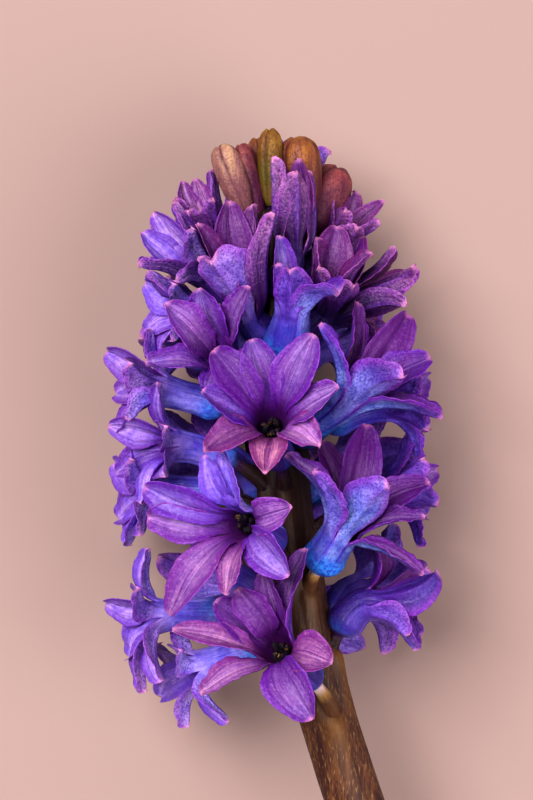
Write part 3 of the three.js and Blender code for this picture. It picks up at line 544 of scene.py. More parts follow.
def gore_faces(counts):
    """Faces of one gore by the number of its points: outer skin, inner skin, left edge, right edge,
    then the poles at the foot, at the bore's floor and at the tip."""
    columns = LOBE_COLUMNS + 1
    number = np.arange(sum(counts) * columns).reshape(-1, columns)
    a, b = number[: counts[0]], number[counts[0] :]
    left = number.size + np.arange(LOBE_ROWS + 1)
    right = left + LOBE_ROWS + 1
    foot_pole, floor_pole, tip_pole = right[-1] + 1 + np.arange(3)
    rim_a, rim_b = a[TUBE_ROWS:], b[BORE_ROWS:]
    quads = [
        grid_faces(a),
        grid_faces(b[:, ::-1]),
        grid_faces(np.stack([rim_a[:, -1], right, rim_b[:, -1]], axis=1)),
        grid_faces(np.stack([rim_b[:, 0], left, rim_a[:, 0]], axis=1)),
    ]
    loop = np.concatenate([a[-1], right[-1:], b[-1, ::-1], left[-1:]])
    fans = [
        np.stack([loop, np.full_like(loop, tip_pole), np.roll(loop, -1)], axis=1),
        np.stack([a[0, :-1], a[0, 1:], np.full(LOBE_COLUMNS, foot_pole)], axis=1),
        np.stack([b[0, 1:], b[0, :-1], np.full(LOBE_COLUMNS, floor_pole)], axis=1),
    ]
    outside = np.zeros(tip_pole + 1)
    outside[: counts[0] * columns] = 1
    outside[left] = outside[right] = outside[tip_pole] = 0.5
    outside[foot_pole] = 1
    return quads, fans, outside


def gore_tints(floret, seed):
    """How pink, how much lighter or darker, and how blue every gore is, each a little off the floret's
    own, and how creamy. Lighter and darker are partly tone, partly painted light and painted shade.
    """
    n = len(floret["tips"])
    pink, pale_and_lit, blue = floret["look"]
    pink = [floret["pinker"].get(lobe, pink) for lobe in range(n)]
    pale_and_lit = [floret["paler_and_lit"].get(lobe, pale_and_lit) for lobe in range(n)]
    tint = np.stack([pink, pale_and_lit, np.full(n, blue)], axis=-1)
    tint = tint + 0.2 * spread(seed + 7 * np.arange(n)[:, None] + np.arange(3))
    return np.concatenate([tint, np.full((n, 1), floret["cream"])], axis=1)


def floret_surface(floret, seed):
    """One floret from its gores, which stand evenly round the mouth, turned to suit the tips: points,
    faces, UV (across the gore, and along it from -1 at the tube's base to 0 at the mouth and 1 at the
    tip) and the values that its material reads."""
    _, up, across = mouth_axes(floret["face"])
    n = len(floret["tips"])
    ring = (MOUTH_OF_SIX if n <= 6 else MOUTH_OF_EIGHT) * floret["slim"]
    tips = np.array([tip[:3] for tip in floret["tips"]])
    even = np.arange(n) * 2 * np.pi / n
    off = np.arctan2(tips @ across, tips @ up) - even
    turn = np.arctan2(np.sin(off).sum(), np.cos(off).sum()) + even
    t = 1 - (1 - np.linspace(0, 1, LOBE_ROWS + 1)) ** 1.5
    outer, inner, edges, tip = lobe_skins(floret, turn, ring, t, seed)
    outside, inside, poles, back = tube_skins(floret, turn, ring)
    skins = [np.concatenate([outside, outer], axis=1), np.concatenate([inside, inner], axis=1)]
    quads, fans, skin_side = gore_faces([skin.shape[1] for skin in skins])
    gores = [*[skin.reshape(n, -1, 3) for skin in skins], *edges]
    gores += [pole[:, None] for pole in (*poles, tip)]
    points = np.concatenate(gores, axis=1)
    size = points.shape[1]
    shift = (np.arange(n) * size)[:, None, None]
    faces = [(band[None] + shift).reshape(-1, band.shape[1]) for band in (*quads, *fans)]

    q = np.linspace(-1, 1, LOBE_COLUMNS + 1)
    along = [back[0], t, back[1], t, t, t, back[2]]
    wide = [q] * 4 + [np.array([-1.0]), np.array([1.0]), np.zeros(1)]
    grids = [np.meshgrid(rows, columns, indexing="ij") for rows, columns in zip(along, wide)]
    uv = np.concatenate([np.stack(grid[::-1], axis=-1).reshape(-1, 2) for grid in grids])
    uv = uv[None] + np.stack([2.0 * np.arange(n), np.zeros(n)], axis=-1)[:, None]
    values = {"outer": np.tile(skin_side, n), "tint": np.repeat(gore_tints(floret, seed), size, axis=0)}
    points = points.reshape(-1, 3)
    points[:, 2] = np.maximum(points[:, 2], -AXIS_HEIGHT)
    return points, faces, uv.reshape(-1, 2), values


def tepal_material():
    """Waxy tissue of cells like fine grains, with painted glints. Inside, a lobe is deep magenta violet
    that lightens to a bluish band along the middle of its outer half, with lengthwise streaks and
    dark margins; towards the throat it is darker, partly in its own colour and partly with painted
    shade. Outside it is blue-violet with dark specks, and the tube is blue, most of all at its base.
    The edge is a thin pink line and the thick tip pink, each partly with a painted highlight; the
    pedicel is dull violet or cream. A floret or lobe can be pinker, and lighter or darker, darker
    where that value is below 0: partly its own tone, partly painted light on the lit florets and
    painted shade on the shaded ones. A blue one is steel blue outside."""
    fixed = {"Subsurface Weight": 0.08, "Subsurface Radius": (0.8, 0.1, 0.9), "Subsurface Scale": 0.0008}
    material, shader, start = finish_material("tepal", fixed | {"Specular IOR Level": 0.3})
    place = start.place()
    uv = start.uv()
    u, v, _ = uv.parts()
    # The tint's second part lightens or darkens a floret or lobe: partly its own tone, partly painted light
    # on the lit florets and painted shade on the shaded ones
    pink, pale_and_lit, blue = start.attribute("tint", "Color").parts()
    cream = start.attribute("tint", "Alpha")
    outside = start.attribute("outer")
    rim = ((u + 1.0).math("FLOORED_MODULO", 2.0) - 1.0).math("ABSOLUTE")
    # Below 0 the same value darkens: partly darker tone, partly painted shade
    dark = pale_and_lit * -1.0
    not_pale_nor_lit = pale_and_lit.step(1.2, 0.2)

    # Grain of the cells, painted glints, blotches and drifts of colour, and streaks and veins along the gore
    grain = place.noise(1700, 3, 0.65)
    fine = place.noise(2100, 2, 0.65)
    cells = place.noise(1100, 3, 0.7).step(0.4, 0.62)
    glint_specks = place.noise(1900, 3, 0.7).step(0.48, 0.7)
    ragged = place.noise(700, 2, 0.6).step(0.42, 0.6)
    blotch = place.noise(260, 3, 0.6).step(0.35, 0.65)
    drift = place.noise(120, 2, 0.5).step(0.38, 0.62)
    streak = uv.noise(1.0, 3, 0.6, at=(4, 0.9, 1)).step(0.36, 0.64)
    vein = uv.noise(1.0, 3, 0.6, at=(7, 0.7, 1)).step(0.5, 0.64)
    thread = uv.noise(1.0, 2, 0.5, at=(12, 0.6, 1)).step(0.52, 0.66)

    # Inside of the lobe: its deep ground, the bloom over the band, then veins, margins and throat;
    # its darkness towards the throat is partly its own colour and partly painted shade
    # The deep ground is darker towards the throat: partly the lobe's own colour, partly painted shade
    deep = pink.mix(ink(74, 22, 136), ink(132, 62, 112))
    deep = pale_and_lit.mix(deep, ink(108, 70, 196))
    bloom = drift.mix(ink(74, 66, 162), ink(120, 74, 152))
    bloom = (blotch * 0.7).mix(bloom, ink(116, 104, 192))
    bloom = pink.mix(bloom, blotch.mix(ink(154, 84, 136), ink(202, 130, 164)))
    # Lighter bloom of the lit lobes: partly their own tone, partly painted light
    bloom = pale_and_lit.mix(bloom, blotch.mix(ink(140, 108, 240), ink(206, 168, 255)))
    bloom = dark.mix(bloom, ink(84, 26, 116))
    band = v.step(0.08, 0.7) * (0.1 + 0.9 * rim.step(0.85, 0.2)) * (0.45 + 0.55 * streak)
    band = band * (1 + 0.7 * pink)
    inside = band.mix(deep, bloom)
    veins = vein * pale_and_lit.step(1.4, 0.2) * 0.55
    inside = veins.mix(inside, pink.mix(ink(80, 24, 130), ink(112, 40, 104)))
    inside = (cells * 0.36).mix(inside, ink(72, 20, 132))
    midrib = rim.step(0.09, 0.0) * 0.4 * v.step(1.0, 0.6)
    inside = midrib.mix(inside, ink(60, 16, 100))
    margin = rim.step(0.55, 0.95) * not_pale_nor_lit * 0.75
    inside = margin.mix(inside, pink.mix(ink(86, 22, 158), ink(128, 48, 118)))
    threads = thread * band * (0.38 - 0.3 * dark)
    inside = threads.mix(inside, pink.mix(ink(156, 132, 214), ink(222, 158, 178)))
    # Painted glints: light specks where the grain of the cells catches the light
    painted_glints = glint_specks * 0.28 * v.step(0.1, 0.5)
    inside = painted_glints.mix(inside, pink.mix(ink(160, 116, 225), ink(222, 148, 186)))
    # Painted highlight along the inside of the margin
    painted_rim_highlight = rim.step(0.93, 1.0) * v.step(0.15, 0.45) * ragged * 0.25
    inside = painted_rim_highlight.mix(inside, ink(176, 100, 214))
    # Darker inside of the shaded lobes: partly their own tone, partly painted shade
    inside = (dark * 0.65).mix(inside, ink(80, 18, 96))
    # The throat: partly its own darker colour, partly painted shade in the recess
    throat = v.step(0.3, -0.05) * 0.8 * not_pale_nor_lit
    inside = throat.mix(inside, ink(58, 16, 66))

    # Outside of the lobe: its skin, specks, painted glints, and the pink tip of the pinker ones over a
    # dark base that is partly its own colour and partly painted shade
    skin = blotch.mix(ink(70, 36, 142), ink(104, 76, 204))
    # Lighter skin of the lit lobes: partly their own tone, partly painted light
    skin = (pale_and_lit * 0.85).mix(skin, blotch.mix(ink(140, 116, 240), ink(196, 172, 255)))
    skin = (pink * 0.85).mix(skin, blotch.mix(ink(86, 26, 102), ink(136, 64, 144)))
    # Darker skin of the shaded lobes: partly their own tone, partly painted shade
    skin = (dark * 0.8).mix(skin, ink(54, 20, 92))
    margin = rim.step(0.5, 1.0) * 0.6 * v.step(0.0, 0.4)
    skin = margin.mix(skin, ink(134, 50, 172))
    tip = v.step(0.45, 1.0) * 0.5 * pink
    skin = tip.mix(skin, blotch.mix(ink(136, 74, 140), ink(186, 120, 172)))
    # Dark base of the pinker lobes: partly their own colour, partly painted shade deep between the lobes
    foot = v.step(0.85, 0.1) * pink.step(0.25, 0.75) * 0.92
    skin = foot.mix(skin, ink(44, 10, 62))
    specks = fine.step(0.49, 0.57) * (0.55 + 0.2 * pink) * v.step(0.0, 0.3)
    skin = specks.mix(skin, pink.mix(ink(48, 18, 108), ink(56, 12, 80)))
    # Painted glints on the outer skin: light specks where the cells catch the light
    dust_and_glints = glint_specks * (0.15 + 0.15 * pink) * v.step(0.2, 0.6)
    skin = dust_and_glints.mix(skin, pink.mix(ink(150, 124, 226), ink(206, 138, 190)))
    keel = rim.step(0.3, 0.0) * 0.35 * v.step(-0.2, 0.5)
    skin = keel.mix(skin, ink(86, 30, 150))

    # Tube, the steel blue of the bluest florets, the tube's bright base and the pedicel
    tube = blue.mix(ink(58, 26, 104), ink(40, 50, 168))
    # Darker tube of the shaded florets: partly its own tone, partly painted shade
    tube = (dark * 0.8).mix(tube, ink(38, 18, 84))
    tube = (pale_and_lit * blue * 0.9).mix(tube, blotch.mix(ink(96, 84, 220), ink(158, 144, 250)))
    tube = (cells * 0.3).mix(tube, ink(80, 36, 150))
    skin = (v.step(0.3, -0.3) * 0.85).mix(skin, tube)
    steel = blotch.mix(ink(84, 104, 190), ink(126, 150, 214))
    steel = (fine.step(0.46, 0.6) * 0.6).mix(steel, ink(52, 40, 130))
    bluest = blue.step(0.8, 1.4) * v.step(0.9, 0.4) * rim.step(0.95, 0.5) * v.step(-0.9, -0.3)
    skin = (bluest * 0.75).mix(skin, steel)
    base = cells.mix(ink(60, 132, 226), ink(40, 76, 186))
    skin = ((v - 0.5 * blue).step(-0.9, -1.4) * (0.1 + 0.8 * blue)).mix(skin, base)
    skin = v.step(-1.0, -1.16).mix(skin, cream.mix(ink(58, 24, 72), ink(226, 198, 200)))
    skin = v.step(-1.1, -1.3).mix(skin, cream.mix(ink(46, 20, 30), ink(172, 130, 76)))
    skin = v.step(-1.22, -1.45).mix(skin, cream.mix(ink(40, 18, 20), ink(92, 58, 34)))

    # Both together, with the thin edge between them and the pink tip, each partly its own pink and
    # partly a painted highlight
    colour = outside.step(0.3, 0.7).mix(inside, skin)
    # The edge line: partly the margin's own pink, partly a painted highlight along the rim
    edge = outside.near(0.5, 0.5) * v.step(-0.05, 0.15)
    edge = edge * (0.05 + 0.4 * ragged)
    colour = edge.mix(colour, pink.mix(ink(150, 74, 204), ink(206, 120, 190)))
    # The tip: partly its own pink, partly a painted highlight on the nub
    colour = (v.step(0.93, 1.0) * 0.6).mix(colour, ink(222, 140, 196))
    roughness = 0.26 + 0.2 * grain + 0.1 * streak
    height = 0.00009 * grain + 0.00014 * vein + 0.00008 * cells
    wire(shader, start, colour, roughness, height, 0.7)
    return material


# The florets that show. mouth: centre of the tube's mouth. face: yaw and rise. tips: each lobe's tip
# from the mouth, clockwise seen from in front, its half width and, where it differs, its curl. look:
# how pink the floret is, how much lighter or darker, and how blue; lighter and darker are partly its
# own tone, partly painted light on the lit florets and painted shade on the shaded ones. pinker, and
# the table that follows it: lobes that are pinker, or lighter or darker, than the floret.
SHOWN = [
    dict(
        name="front_centre", mouth=(0.9, -4.7, 17), face=(-2, 27), curl=35,
        look=(0.2, 0.04, 0.3), pinker={3: 0.9, 4: 1.0, 5: 0.7},
        paler_and_lit={4: 0.1, 5: -0.55, 6: -0.4, 7: -0.5},
        tips=[
            (-3.9, 16.2, 1, 3.8), (8, 16.8, 1.5, 3.9), (13, 7, 6.5, 3.4), (9.1, -4.7, 9, 3.4),
            (-1.2, -9.4, 11, 3.3), (-12.4, -5.7, 8, 3.4), (-13.4, 6, 5, 3.4), (-10.9, 13.8, 1, 4.2),
        ],
    ),
    dict(
        name="front_left", mouth=(-4.6, -23.9, 17), face=(-32, 0), curl=35,
        look=(0.25, 0.12, 0.4), pinker={0: 0.0, 1: 0.0, 2: 0.35, 3: 0.4, 4: 0.75, 5: 0.5},
        paler_and_lit={0: 1.0, 1: 1.05, 4: 0.2, 5: 0.2, 6: 0.1, 7: 0.1},
        tips=[
            (-7, 13.3, 4, 2.6), (-3, 14, 3, 2.9), (9.5, 3.5, 9, 3.2), (9.1, -9.3, 8, 3.6),
            (-2.7, -13.4, 7, 2.9), (-13, -17.8, -2, 3.6), (-18.2, 1.2, -3, 4), (-18.2, 7, -3, 3.8),
        ],
    ),
    dict(
        name="front_low", mouth=(2.4, -48.5, 16), face=(-28, 28), curl=40,
        look=(0.4, 0.05, 0.4), cream=1.0,
        pinker={0: 0.15, 2: 0.7, 3: 0.15, 4: 0.9, 5: 0.7, 6: 0.2, 7: 0.2},
        paler_and_lit={0: -0.6, 1: -0.3, 2: -0.1, 3: -0.2, 6: -0.5, 7: -0.6},
        tips=[
            (-2.7, 15.3, 2, 3.4), (5.6, 18.8, 1, 2.8), (10.1, -1.9, 8, 4), (6.6, -12, 9, 4.2),
            (-14.7, -8.1, 7, 3.4), (-20, 3.8, 3.5, 2.6), (-12.2, 9.5, 1.5, 3.6), (-7.8, 12, 3, 3.8),
        ],
    ),
    dict(
        name="front_right", mouth=(15.2, -24.7, 13), face=(40, 48), curl=40,
        look=(0.2, 0.05, 1.3), cream=1.0,
        paler_and_lit={0: -1.3, 1: -1.3, 2: -0.8, 3: -0.6, 4: -0.6, 5: 0.25, 6: 0.25, 7: 0.1},
        shorter=3.2, deeper=2, stout=1.3,
        tips=[
            (-5.4, 15.9, -3, 3.6), (3.9, 19, -6, 3.8), (16.7, 8, -2, 3.2), (15.2, 1, 2, 2.4),
            (14.6, -9.3, 4, 2.2, 55), (7.8, 7.2, 11, 4.2), (-6.4, 10.9, 10.5, 3), (-12, 13, 5, 3),
        ],
    ),
    dict(
        name="right_upper", mouth=(16.6, 1, 11), face=(50, 38), curl=40,
        look=(0.2, 0.0, 1.25), paler_and_lit={0: -1.0, 1: -1.0, 2: -0.7, 3: -0.4, 4: 0.1, 5: 0.0},
        deeper=3,
        tips=[
            (0.8, 18.1, -4, 2.8), (10.5, 15.4, -8, 3.8), (15.6, 6.9, -4, 3.8), (16.8, -5.4, 3, 3.6),
            (9.4, 3.2, 12, 4), (-7.1, 12.9, 7, 2.6),
        ],
    ),
    dict(
        name="bell", mouth=(5, 17.2, 12.5), face=(8, 62), curl=30,
        look=(0.15, -0.4, 1.05), paler_and_lit={0: 0.3, 3: 0.4, 4: 0.1},
        wider=0.3, overlap=1.8, shorter=3.5, deeper=0.5, stout=1.35, ruffle=CALM,
        tips=[
            (-3.1, 14.6, 2, 2.8), (0.5, 8, -2, 2.6), (4, 5.5, 1, 2.5), (8, 2.3, 7, 4.8, 85),
            (-0.6, 7.6, 8, 3.4), (-4, 8.5, 5, 2.4),
        ],
    ),
    dict(
        name="left_upper", mouth=(-8.8, 8.3, 12), face=(-32, 35), curl=30,
        look=(0.3, 0.08, 0.4), paler_and_lit={1: -0.3, 2: -0.5, 3: -0.4, 4: 0.3},
        deeper=2,
        tips=[
            (-4.1, 13.5, 2, 3.8), (6.1, 13.3, 3, 3.3), (5, -2, 4, 3), (-2, -7.5, 4, 2.8),
            (-14.6, -1.6, 3, 3.4), (-11.3, 9.8, 3, 4),
        ],
    ),
    dict(
        name="crown_left", mouth=(-4.6, 22.8, 11), face=(-14, 55), curl=30,
        look=(0.9, -0.75, 0.5), pinker={0: 0.7, 3: 0.15, 5: 0.8}, paler_and_lit={3: 0.5},
        wider=0.3, overlap=2.4, slim=0.85, deeper=7, launch=20, ruffle=CALM,
        tips=[
            (-2.9, 16.2, -3, 3.4), (3.2, 15.2, -2, 3), (6.1, 13.4, 5, 3), (-5.8, 2.8, 10.5, 5.8, 24),
            (-8.8, 4.5, 5, 2.8), (-9.5, 11, 0, 2.4),
        ],
    ),
    dict(
        name="crown_right", mouth=(13, 23, 5), face=(20, 52), curl=35,
        look=(0.95, -0.85, 0.1), paler_and_lit={0: -0.9, 1: -1.0, 2: -1.0, 4: -0.4},
        wider=0.3, overlap=2.2, slim=0.8, deeper=6, launch=20, ruffle=CALM,
        tips=[
            (-3.8, 9, 1, 3), (0.6, 11, -4, 3.8), (6, 9.5, -5, 3.4), (7.8, 4.8, 2, 2.6, 60),
            (4, -1, 6, 2.8), (-3.5, 2, 6.5, 2.1),
        ],
    ),
    dict(
        name="top_bell", mouth=(5.3, 33, 7.5), face=(8, 78), curl=15,
        look=(0.95, -1.0, 0.0), pinker={0: 1.0, 4: 1.0},
        wider=0.05, overlap=2.4, slim=0.62, deeper=4.5, launch=30, full_at=0.7, ruffle=CALM,
        tips=[
            (-3.2, 13.6, -3, 3.2), (1.6, 14.4, -3, 3.2), (3.6, 12.2, -2, 3), (1, 11, 6.5, 4.3),
            (-4.2, 14.6, 3, 3.6),
        ],
    ),
    dict(
        name="right_top", mouth=(16, 34, -3), face=(72, 50), curl=25,
        look=(1.0, -0.8, 0.0),
        wider=0.2, slim=0.8, deeper=5, ruffle=CALM,
        tips=[
            (-3.5, 6.5, 2, 2.4), (1, 8, -4, 2.6), (7.7, 6, -3, 1.8), (7, 0.5, 1, 2.8), (2, 0, 7, 2.6),
            (-1, 3, 7, 2.4),
        ],
    ),
    dict(
        name="right_crown", mouth=(18.5, 19.5, -1), face=(75, 22), curl=50,
        look=(0.95, -0.85, 0.1),
        wider=0.15, deeper=5, ruffle=CALM,
        tips=[
            (6.5, 11.3, 0, 3), (8, 6, -9, 3), (5, -6, -8, 3), (3, -10, 2, 3), (8.8, -1, 7, 2.8),
            (9.6, 6.5, 6, 2.8, 80),
        ],
    ),
    dict(
        name="left_top", mouth=(-12.5, 36, 0), face=(-60, 55), curl=20,
        look=(0.7, 0.15, 0.1),
        wider=0.1, slim=0.8, deeper=5, ruffle=CALM,
        tips=[
            (2, 10, 0, 2.8), (2.5, 3, 6, 2.6), (-3, 1, 7, 2.6), (-6.5, 3, 2, 2.8), (-4.8, 7.8, -3, 2.6),
            (-1.4, 8, -5, 2.6),
        ],
    ),
    dict(
        name="left_crown", mouth=(-15.5, 28, 4), face=(-62, 35), curl=30,
        look=(0.5, 0.75, 0.1),
        wider=0.15, deeper=5, ruffle=CALM,
        tips=[
            (-2.2, 11.4, 0, 3.2), (2, 5, 8, 3), (-2, -5, 8, 3), (-9.5, -2.5, 3, 3.6),
            (-9.5, 5, -3, 3.4), (-6, 9.5, -5, 3.2),
        ],
    ),
    dict(
        name="left_shoulder", mouth=(-16, 17.5, 4), face=(-68, 12), curl=35,
        look=(0.35, 0.8, 0.2),
        wider=0.15, deeper=2, ruffle=CALM,
        tips=[
            (-7, 8.2, 2, 3.4), (-1, 5, 9, 2.8), (-2, -6, 8, 2.8), (-4, -10, 0, 3), (-8, -4, -6, 3),
            (-7, 6, -8, 3),
        ],
    ),
    dict(
        name="left_side", mouth=(-20.6, 2, 2), face=(-78, 18), curl=40,
        look=(0.3, 0.6, 0.9),
        wider=0.2, ruffle=CALM,
        tips=[
            (-2.3, 12, 0, 2.6), (-5, 5, 10, 3.2), (-6.5, -6, 5, 3), (-7.5, -9, -1, 3.2),
            (-9.3, -1, -8, 3.4), (-10.1, 7.8, -5, 3.4),
        ],
    ),
    dict(
        name="left_inner", mouth=(-18.5, -9, 5), face=(-62, 5), curl=30,
        look=(0.25, 0.6, 0.7),
        ruffle=CALM,
        tips=[
            (-2.4, 12.4, 4, 2.4), (0, 4, 10.5, 2.8), (-1, -6, 10, 2.8), (-5, -11.5, 1, 3),
            (-11, -6, -6, 3), (-12, 4, -4, 3),
        ],
    ),
    dict(
        name="left_mid", mouth=(-21.5, -18, -1), face=(-80, 0), curl=40,
        look=(0.3, 0.8, 0.6),
        wider=0.25, ruffle=CALM,
        tips=[
            (-5, 11, -1, 3), (-4, 6, 9, 3), (-3, -8.7, 7, 3.2), (-5, -11, -2, 3.2), (-8, -6.3, -8, 3.4),
            (-8, 5, -9, 3.2),
        ],
    ),
    dict(
        name="left_low", mouth=(-21, -43, 2), face=(-78, -5), curl=45,
        look=(0.4, 0.9, 0.7),
        wider=0.25, ruffle=CALM,
        tips=[
            (-2.1, 13.2, 1, 2.8), (-3, 6, 10, 3), (0.7, -12, 8, 3.2), (-2.3, -14.6, -1, 3.2),
            (-6, -9, -6, 3.4), (-10.1, 2.8, -6, 2.8),
        ],
    ),
    dict(
        name="left_base", mouth=(-13, -53.5, -3), face=(-95, -20), curl=50,
        look=(0.2, 0.95, 0.7),
        wider=0.3, ruffle=CALM,
        tips=[
            (-3, 10, -3, 3), (-3, 4, 9, 2.8), (5.5, -10.3, 3, 2.4), (-2, -12, -3, 3), (-8, -7, -8, 3),
            (-8, 4, -9, 3),
        ],
    ),
    dict(
        name="right_low", mouth=(20.5, -40.5, 3), face=(70, 8), curl=45,
        look=(0.15, -0.9, 0.4), paler_and_lit={0: -1.2, 3: 0.5, 4: 0.1, 5: -1.0},
        wider=0.2, shorter=4, stout=1.15, ruffle=CALM,
        tips=[
            (0, 13.2, 0, 3.2), (8, 6, -8, 3.2), (8, -2.4, -7, 2.6), (8, -9.3, 0, 3.4), (7, -6, 5, 2.8),
            (12.9, 7.3, 5, 3.6),
        ],
    ),
    dict(
        name="right_mid", mouth=(24, -19, -4), face=(85, 15), curl=45,
        look=(0.15, 0.0, 0.6),
        tips=[
            (4, 12, -2, 3.2), (9.3, 5, -7, 3.2), (8, -5, -9, 3.2), (5.7, -10.5, 0, 3), (9.7, -2, 7, 3),
            (6, 7, 8, 3),
        ],
    ),
    dict(
        name="right_side", mouth=(23.5, -1, -3), face=(85, 12), curl=45,
        look=(0.15, 0.0, 0.6),
        tips=[
            (4, 12, -2, 3.4), (8, 6, -8, 3.2), (8, -5, -8, 3.2), (6, -11, 0, 3), (8, -5, 8, 3),
            (5, 6, 8, 3),
        ],
    ),
]

# What holds where a row says nothing else. wider: share by which a lobe outgrows its half width.
# overlap: its reach past halfway to a neighbour. shorter: what is off the tube. slim: for the mouth.
# full_at: where along it a lobe is fullest. launch: degrees by which it leaves the rim outwards.
# stout: for the tube's belly. ruffle: waving of the margins. deeper: what the mouth is sunk by.
STANDARD = dict(
    pinker={}, paler_and_lit={}, cream=0.0, wider=0.16, overlap=1.1, shorter=0.0, slim=1.0, full_at=0.5,
    launch=12, stout=1.0, ruffle=1.0, deeper=0.0,
)

# The florets of the lower side: name, rise of the face, and the mouth's distance from the scape's
# axis. A foot lies UNDER_LEAN further down the scape than its mouth. The lobes stand out from the
# tube by the flare, in degrees, and the chord is a lobe's length.
UNDER = [
    ("under_low", 0, 18.2),
    ("under_mid", 4, 18.1),
    ("under_high", 4, 17.5),
    ("under_crown", 20, 15.5),
    ("under_top", 50, 11.8),
    ("under_low_right", 0, 14),
    ("under_mid_right", 8, 15.5),
    ("under_crown_right", 16, 14),
    ("under_low_left", -4, 17),
    ("under_mid_left", 8, 14),
    ("under_crown_left", 16, 14),
]
UNDER_LEAN = 9
UNDER_FLARE, UNDER_CHORD, UNDER_WIDE = 52, 13.5, 3.5


def under_floret(name, rise, away, draw):
    """A floret of the lower side: six lobes spread evenly round the mouth, of nearly the same length
    and flare, all turned by a small angle."""
    around, foot = FEET[name]
    y = foot + UNDER_LEAN
    out = np.radians(around)
    facing, up, across = mouth_axes((around, rise))
    k = np.arange(6)
    angle = 0.5 * spread(draw + 40) + k * np.pi / 3
    outward = np.cos(angle)[:, None] * up + np.sin(angle)[:, None] * across
    flare = np.radians(UNDER_FLARE + 3 * spread(11 * draw + k))[:, None]
    chord = (UNDER_CHORD * (1 + 0.03 * spread(7 * draw + 3 * k)))[:, None]
    tips = outward * (MOUTH_OF_SIX + chord * np.sin(flare)) + facing * chord * np.cos(flare)
    tips = [(*tip, UNDER_WIDE) for tip in tips]
    mouth = (axis_x(y) + away * np.sin(out), y, away * np.cos(out))
    return dict(name=name, mouth=mouth, face=(around, rise), curl=40, look=(0.2, 0.3, 0.5), tips=tips)


tepal = tepal_material()
under = [under_floret(*row, draw) for draw, row in enumerate(UNDER)]
grown = {}
for index, row in enumerate(SHOWN + under):
    floret = STANDARD | row
    name = floret["name"]
    floret["foot"] = FEET[name]
    deeper = mouth_axes(floret["face"])[0] * floret["deeper"]
    floret["mouth"] = np.array(floret["mouth"]) - deeper
    floret["tips"] = [(*(np.array(tip[:3]) + deeper), *tip[3:]) for tip in floret["tips"]]
    surface = floret_surface(floret, 13 * index)
    put("bloom_" + name, *surface, "tepals", "floret_" + name, tepal, merge=True)
    grown[name] = floret


# The stamens and pistil in the throats that show: six short anthers round the pistil, nearly black,
# split lengthwise and dusted with a little yellow pollen, each on a filament that leaves the tube's
# wall. They are grown with the floret, and stand just below its mouth.
OPEN = [
    "front_centre", "front_left", "front_low", "right_upper", "left_upper", "crown_left",
    "left_side", "left_mid", "left_low", "right_low", "right_mid", "right_side",
]
ANTHER_LONG, ANTHER_WIDE = 3.2, 0.78
ANTHER_BACK, ANTHER_AWAY = 1.4, 1.35
ANTHER_ROWS, ANTHER_COLUMNS = 11, 12
FILAMENT, FILAMENT_DOWN, FILAMENT_AWAY = 0.22, 3.2, 1.3
PISTIL = 0.55 * np.array([1.5, 1.9, 1.7, 1.1, 0.7, 0.6, 0.6, 0.8, 0.7])
PISTIL_TOP = 2.6
POLLEN = {"anther": 1.0, "thread": 0.0, "pistil": 0.4}


def carried(path, radius, angle):
    """A closed skin round a path: at every point of the path, a ring whose radius is given for each
    of its columns, with a pole at either end. Its UV runs round the path and along it."""
    ahead = unit(np.gradient(path, axis=0))
    guide = np.array([0.31, 0.24, 0.92])
    rise = unit(guide - ahead * (ahead @ guide)[:, None])
    across = np.cross(rise, ahead)
    turn = np.cos(angle)[:, None] * rise[:, None] + np.sin(angle)[:, None] * across[:, None]
    body = path[:, None] + turn * radius[..., None]
    rows, columns = radius.shape
    index = np.arange(rows * columns).reshape(rows, columns)
    first, last = index[0], index[-1]
    low = np.full(columns, rows * columns)
    faces = [
        grid_faces(index, closed=True),
        np.stack([first, np.roll(first, -1), low], axis=1),
        np.stack([last, low + 1, np.roll(last, -1)], axis=1),
    ]
    around = np.tile(np.linspace(0, 1, columns, endpoint=False), rows)
    along = np.repeat(np.linspace(0, 1, rows), columns)
    uv = np.stack([np.append(around, [0, 0]), np.append(along, [0, 1])], axis=-1)
    return np.concatenate([body.reshape(-1, 3), path[:1], path[-1:]]), faces, uv


